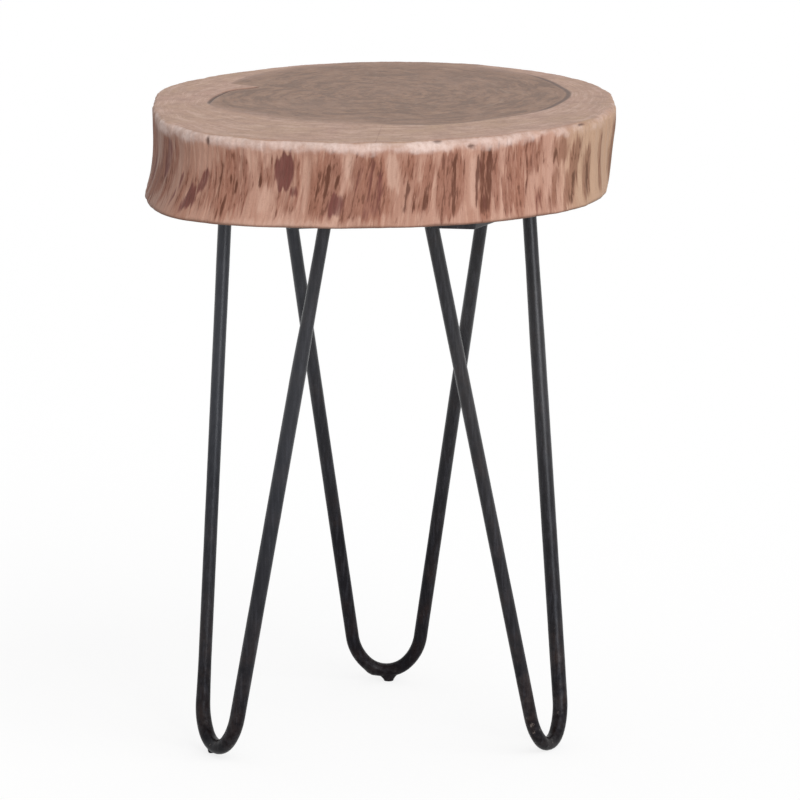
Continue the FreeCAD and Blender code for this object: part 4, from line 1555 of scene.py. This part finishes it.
def screw_blank():
    """One pan-head screw, point up, its head's flat side on the plate at height 0."""
    dome = SCREW_HEAD_HEIGHT - SCREW_RIM
    profile = [(0.0, SCREW_LENGTH), (SCREW_SHANK * SCREW_TIP_SHARE, SCREW_LENGTH - SCREW_TIP)]
    profile += [(SCREW_SHANK, SCREW_TAPER), (SCREW_SHANK, 0.0)]
    profile += [(SCREW_HEAD - SCREW_SOFT, 0.0), (SCREW_HEAD, -SCREW_SOFT)]
    for share in DOME_SHARES:
        profile.append((SCREW_HEAD * share, -SCREW_RIM - dome * math.sqrt(1.0 - share * share)))
    points, faces = lathe([(r * MM, h * MM) for r, h in profile], SCREW_SIDES)
    blank = linked("screw_blank", solid_mesh("screw_blank", points, faces, False))
    helpers = [blank]
    for crossed in (False, True):
        points = []
        for level, share in RECESS_LEVELS:
            x, y = RECESS_LONG * share, RECESS_WIDE
            if crossed:
                x, y = y, x
            corners = ((-x, -y), (x, -y), (x, y), (-x, y))
            points += [(a * MM, b * MM, level * MM) for a, b in corners]
        faces = [(3, 2, 1, 0), (4, 5, 6, 7)]
        faces += [(i, (i + 1) % 4, 4 + (i + 1) % 4, 4 + i) for i in range(4)]
        cutter = linked("recess", solid_mesh("recess", points, faces, False))
        helpers.append(cutter)
        modifier = blank.modifiers.new("recess", "BOOLEAN")
        modifier.operation = "DIFFERENCE"
        modifier.solver = "EXACT"
        modifier.object = cutter
    cut = plain_mesh(blank)
    for helper in helpers:
        bpy.data.objects.remove(helper)
    return linked("screw_shape", cut)


def nub_mesh(nub):
    """A blob of metal under a bend: flat below, flared into the bar above."""
    _, out, along = leg_axes(nub.leg)
    base = on_leg(nub.leg, SPLAY, nub.leg.sway + nub.side, 0.0)
    bumps = np.random.default_rng(NUB_SEED).uniform(-NUB_BUMP, NUB_BUMP, NUB_SIDES)
    bumps = (bumps + np.roll(bumps, 1) + np.roll(bumps, 2)) / 3
    rim_top = NUB_RIM[-1][0]
    points = []
    rows = []
    for rise, foot in (*NUB_RIM, *((share, 1.0) for share in np.linspace(0.1, 1.0, NUB_ROWS))):
        level = Vector((0.0, 0.0, rise * nub.height * MM))
        grow = max(0.0, rise - rim_top) ** nub.flare
        rows.append(range(len(points), len(points) + NUB_SIDES))
        for i in range(NUB_SIDES):
            turn = math.tau * i / NUB_SIDES
            long = nub.more if math.cos(turn) > 0.0 else nub.less
            swell = 1.0 + bumps[i] * min(1.0, rise * 3.0)
            a = (nub.flat * foot + (long - nub.flat) * grow) * math.cos(turn) * swell
            o = (nub.flat * foot + (nub.wide - nub.flat) * grow) * math.sin(turn) * swell
            points.append(base + (along * a + out * o) * MM + level)
    faces = [tuple(rows[0])]
    for lower, upper in zip(rows, rows[1:]):
        for i in range(NUB_SIDES):
            j = (i + 1) % NUB_SIDES
            faces.append((lower[j], lower[i], upper[i], upper[j]))
    faces.append(tuple(reversed(rows[-1])))
    return solid_mesh(nub.node + "_blob", points, faces)


def add_sun(name, turn, height, level, spread):
    """A soft lamp far off: turn is to the right of the front, height above the floor."""
    lamp = bpy.data.lights.new(name, "SUN")
    lamp.energy = level * math.pi
    lamp.angle = spread
    linked(name, lamp).rotation_euler = (math.pi / 2 - height, 0.0, turn)


class Step:
    """One step of the build, which is given the table's settings."""

    def execute(self, context):
        self.build(context.scene.side_table)
        return {"FINISHED"}


class SIDETABLE_OT_stage(Step, bpy.types.Operator):
    """Sets the floor, the soft lights and the camera."""

    bl_idname = "sidetable.stage"
    bl_label = "Stage"

    def build(self, table):
        stage = table.stage
        scene = bpy.context.scene
        scene.view_settings.view_transform = "Standard"
        sides = ((-1, -1), (1, -1), (1, 1), (-1, 1))
        corners = [(x * FLOOR_REACH, y * FLOOR_REACH, 0.0) for x, y in sides]
        mesh = solid_mesh("studio_floor", corners, [(0, 1, 2, 3)], False)
        mesh.materials.append(stored("studio_floor", floor_finish, stage))
        floor = linked("studio_floor", mesh)

        world = bpy.data.worlds.new("studio")
        world.use_nodes = True
        scene.world = world
        g = Graph(world.node_tree)
        level = g.seen() * (1.0 - stage.fill_level) + stage.fill_level
        sky = g.add("ShaderNodeBackground", {"Color": WHITE, "Strength": level})
        g.add("ShaderNodeOutputWorld", {"Surface": sky})
        add_sun("key_light", stage.key_turn, stage.key_height, stage.key_level, stage.key_spread)
        strip = (stage.strip_turn, stage.strip_height, stage.strip_level, stage.strip_spread)
        add_sun("strip_light", *strip)

        camera = bpy.data.cameras.new("photo_view")
        camera.sensor_width = SENSOR_WIDTH
        camera.lens = stage.lens
        camera.clip_start = CAMERA_NEAR
        camera.clip_end = CAMERA_FAR
        scene.camera = linked("photo_view", camera)
        scene.camera.location = stage.camera_place
        scene.camera.rotation_euler = (math.pi / 2 - stage.camera_pitch, 0.0, 0.0)


class SIDETABLE_OT_wood_slice(Step, bpy.types.Operator):
    """Builds the live-edge slice that is the table's top."""

    bl_idname = "sidetable.wood_slice"
    bl_label = "Wood Slice"

    def build(self, table):
        finish = stored("slice_wood", wood_finish, table.wood)
        new_piece("wood_slice", slice_mesh(table.wood), finish, ["top_slab"])


class SIDETABLE_OT_hairpin_bars(Step, bpy.types.Operator):
    """Bends the three hairpin bars."""

    bl_idname = "sidetable.hairpin_bars"
    bl_label = "Hairpin Bars"

    def build(self, table):
        legs = table.legs
        finish = stored("leg_paint", paint_finish, legs)
        tree = bar_tree()
        for leg in LEGS:
            places, girths = hairpin_line(leg)
            curve = new_curve(leg.name + "_line", "3D")
            add_line(curve, places, False).points.foreach_set("radius", girths)
            values = {
                "Diameter": legs.bar,
                "Sides": legs.sides,
                "Step": BAR_STEP,
                "Lump": legs.lump,
                "Lump Scale": LUMPS_PER_METRE,
                "Run Place": on_leg(leg, SPLAY, leg.sway + PAINT_RUN.along, PAINT_RUN.height),
                "Run Reach": PAINT_RUN.reach * MM,
                "Run Rise": PAINT_RUN.rise * MM if leg == PAINT_RUN.leg else 0.0,
                "Top Level": PLATE_UNDERSIDE * MM,
                "Floor Level": 0.0,
                "Paint": finish,
            }
            mesh = grown(linked(curve.name, curve), tree, values)
            new_piece(leg.name + "_hairpin", mesh, None, [leg.name + "_hairpin_rod"])


class SIDETABLE_OT_mounting_plates(Step, bpy.types.Operator):
    """Cuts the three mounting plates."""

    bl_idname = "sidetable.mounting_plates"
    bl_label = "Mounting Plates"

    def build(self, table):
        finish = stored("leg_paint", paint_finish, table.legs)
        for leg in LEGS:
            mesh = plate_mesh(leg, table.legs.plate_edge)
            new_piece(leg.name + "_plate", mesh, finish, [leg.name + "_mounting_plate"])


class SIDETABLE_OT_weld_beads(Step, bpy.types.Operator):
    """Runs a weld bead round the top of each arm."""

    bl_idname = "sidetable.weld_beads"
    bl_label = "Weld Beads"

    def build(self, table):
        legs = table.legs
        tree = bead_tree()
        values = {
            "Bead": legs.bead,
            "Ripples": float(legs.ripples),
            "Ripple Depth": BEAD_RIPPLE,
            "Steps": BEAD_STEPS,
            "Top Level": PLATE_UNDERSIDE * MM,
            "Paint": stored("leg_paint", paint_finish, legs),
        }
        for node in sorted(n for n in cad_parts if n.endswith("_weld")):
            curve = new_curve(node + "_line", "3D")
            add_line(curve, weld_line(node, legs.bead), True)
            mesh = grown(linked(curve.name, curve), tree, values)
            new_piece(node + "_bead", mesh, None, [node])


class SIDETABLE_OT_foot_nubs(Step, bpy.types.Operator):
    """Adds the blobs of metal below two of the bends."""

    bl_idname = "sidetable.foot_nubs"
    bl_label = "Foot Nubs"

    def build(self, table):
        finish = stored("leg_paint", paint_finish, table.legs)
        for nub in NUBS:
            new_piece(nub.node + "_blob", nub_mesh(nub), finish, [nub.node])


class SIDETABLE_OT_plate_screws(Step, bpy.types.Operator):
    """Drives the screws that hold the plates to the slice."""

    bl_idname = "sidetable.plate_screws"
    bl_label = "Plate Screws"

    def build(self, table):
        places = []
        for leg in LEGS:
            for out, along in SCREW_PLACES:
                places.append(on_leg(leg, out + leg.plate_set, along, PLATE_UNDERSIDE))
        holder = linked("screw_places", solid_mesh("screw_places", places, []))
        shape = screw_blank()
        finish = stored("plated_steel", screw_finish, table.legs)
        made = grown(holder, screw_tree(), {"Screw": shape, "Seed": SCREW_SEED, "Steel": finish})
        bpy.data.objects.remove(shape)
        made.polygons.foreach_set("use_smooth", [False] * len(made.polygons))
        nodes = sorted(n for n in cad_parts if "_plate_screw_" in n)
        new_piece("plate_screws", made, None, nodes)


class SIDETABLE_PT_panel(bpy.types.Panel):
    """Lists the table's settings and the steps that build it."""

    bl_idname = "SIDETABLE_PT_panel"
    bl_label = "Side Table"
    bl_space_type = "VIEW_3D"
    bl_region_type = "UI"
    bl_category = "Side Table"

    def draw(self, context):
        table = context.scene.side_table
        for label, group in (("Slice", table.wood), ("Legs", table.legs), ("Stage", table.stage)):
            box = self.layout.box()
            box.label(text=label)
            for name in group.__annotations__:
                box.prop(group, name)
        for step in STEPS:
            self.layout.operator(step.bl_idname)


STEPS = (
    SIDETABLE_OT_stage,
    SIDETABLE_OT_wood_slice,
    SIDETABLE_OT_hairpin_bars,
    SIDETABLE_OT_mounting_plates,
    SIDETABLE_OT_weld_beads,
    SIDETABLE_OT_foot_nubs,
    SIDETABLE_OT_plate_screws,
)
CLASSES = (SliceSettings, LegSettings, StageSettings, TableSettings, *STEPS, SIDETABLE_PT_panel)


def register():
    for made in CLASSES:
        bpy.utils.register_class(made)
    bpy.types.Scene.side_table = PointerProperty(type=TableSettings)


def unregister():
    del bpy.types.Scene.side_table
    for made in reversed(CLASSES):
        bpy.utils.unregister_class(made)


def main():
    """Builds the table step by step."""
    register()
    bpy.ops.sidetable.stage()
    bpy.ops.sidetable.wood_slice()
    bpy.ops.sidetable.hairpin_bars()
    bpy.ops.sidetable.mounting_plates()
    bpy.ops.sidetable.weld_beads()
    bpy.ops.sidetable.foot_nubs()
    bpy.ops.sidetable.plate_screws()


if __name__ == "__main__":
    main()
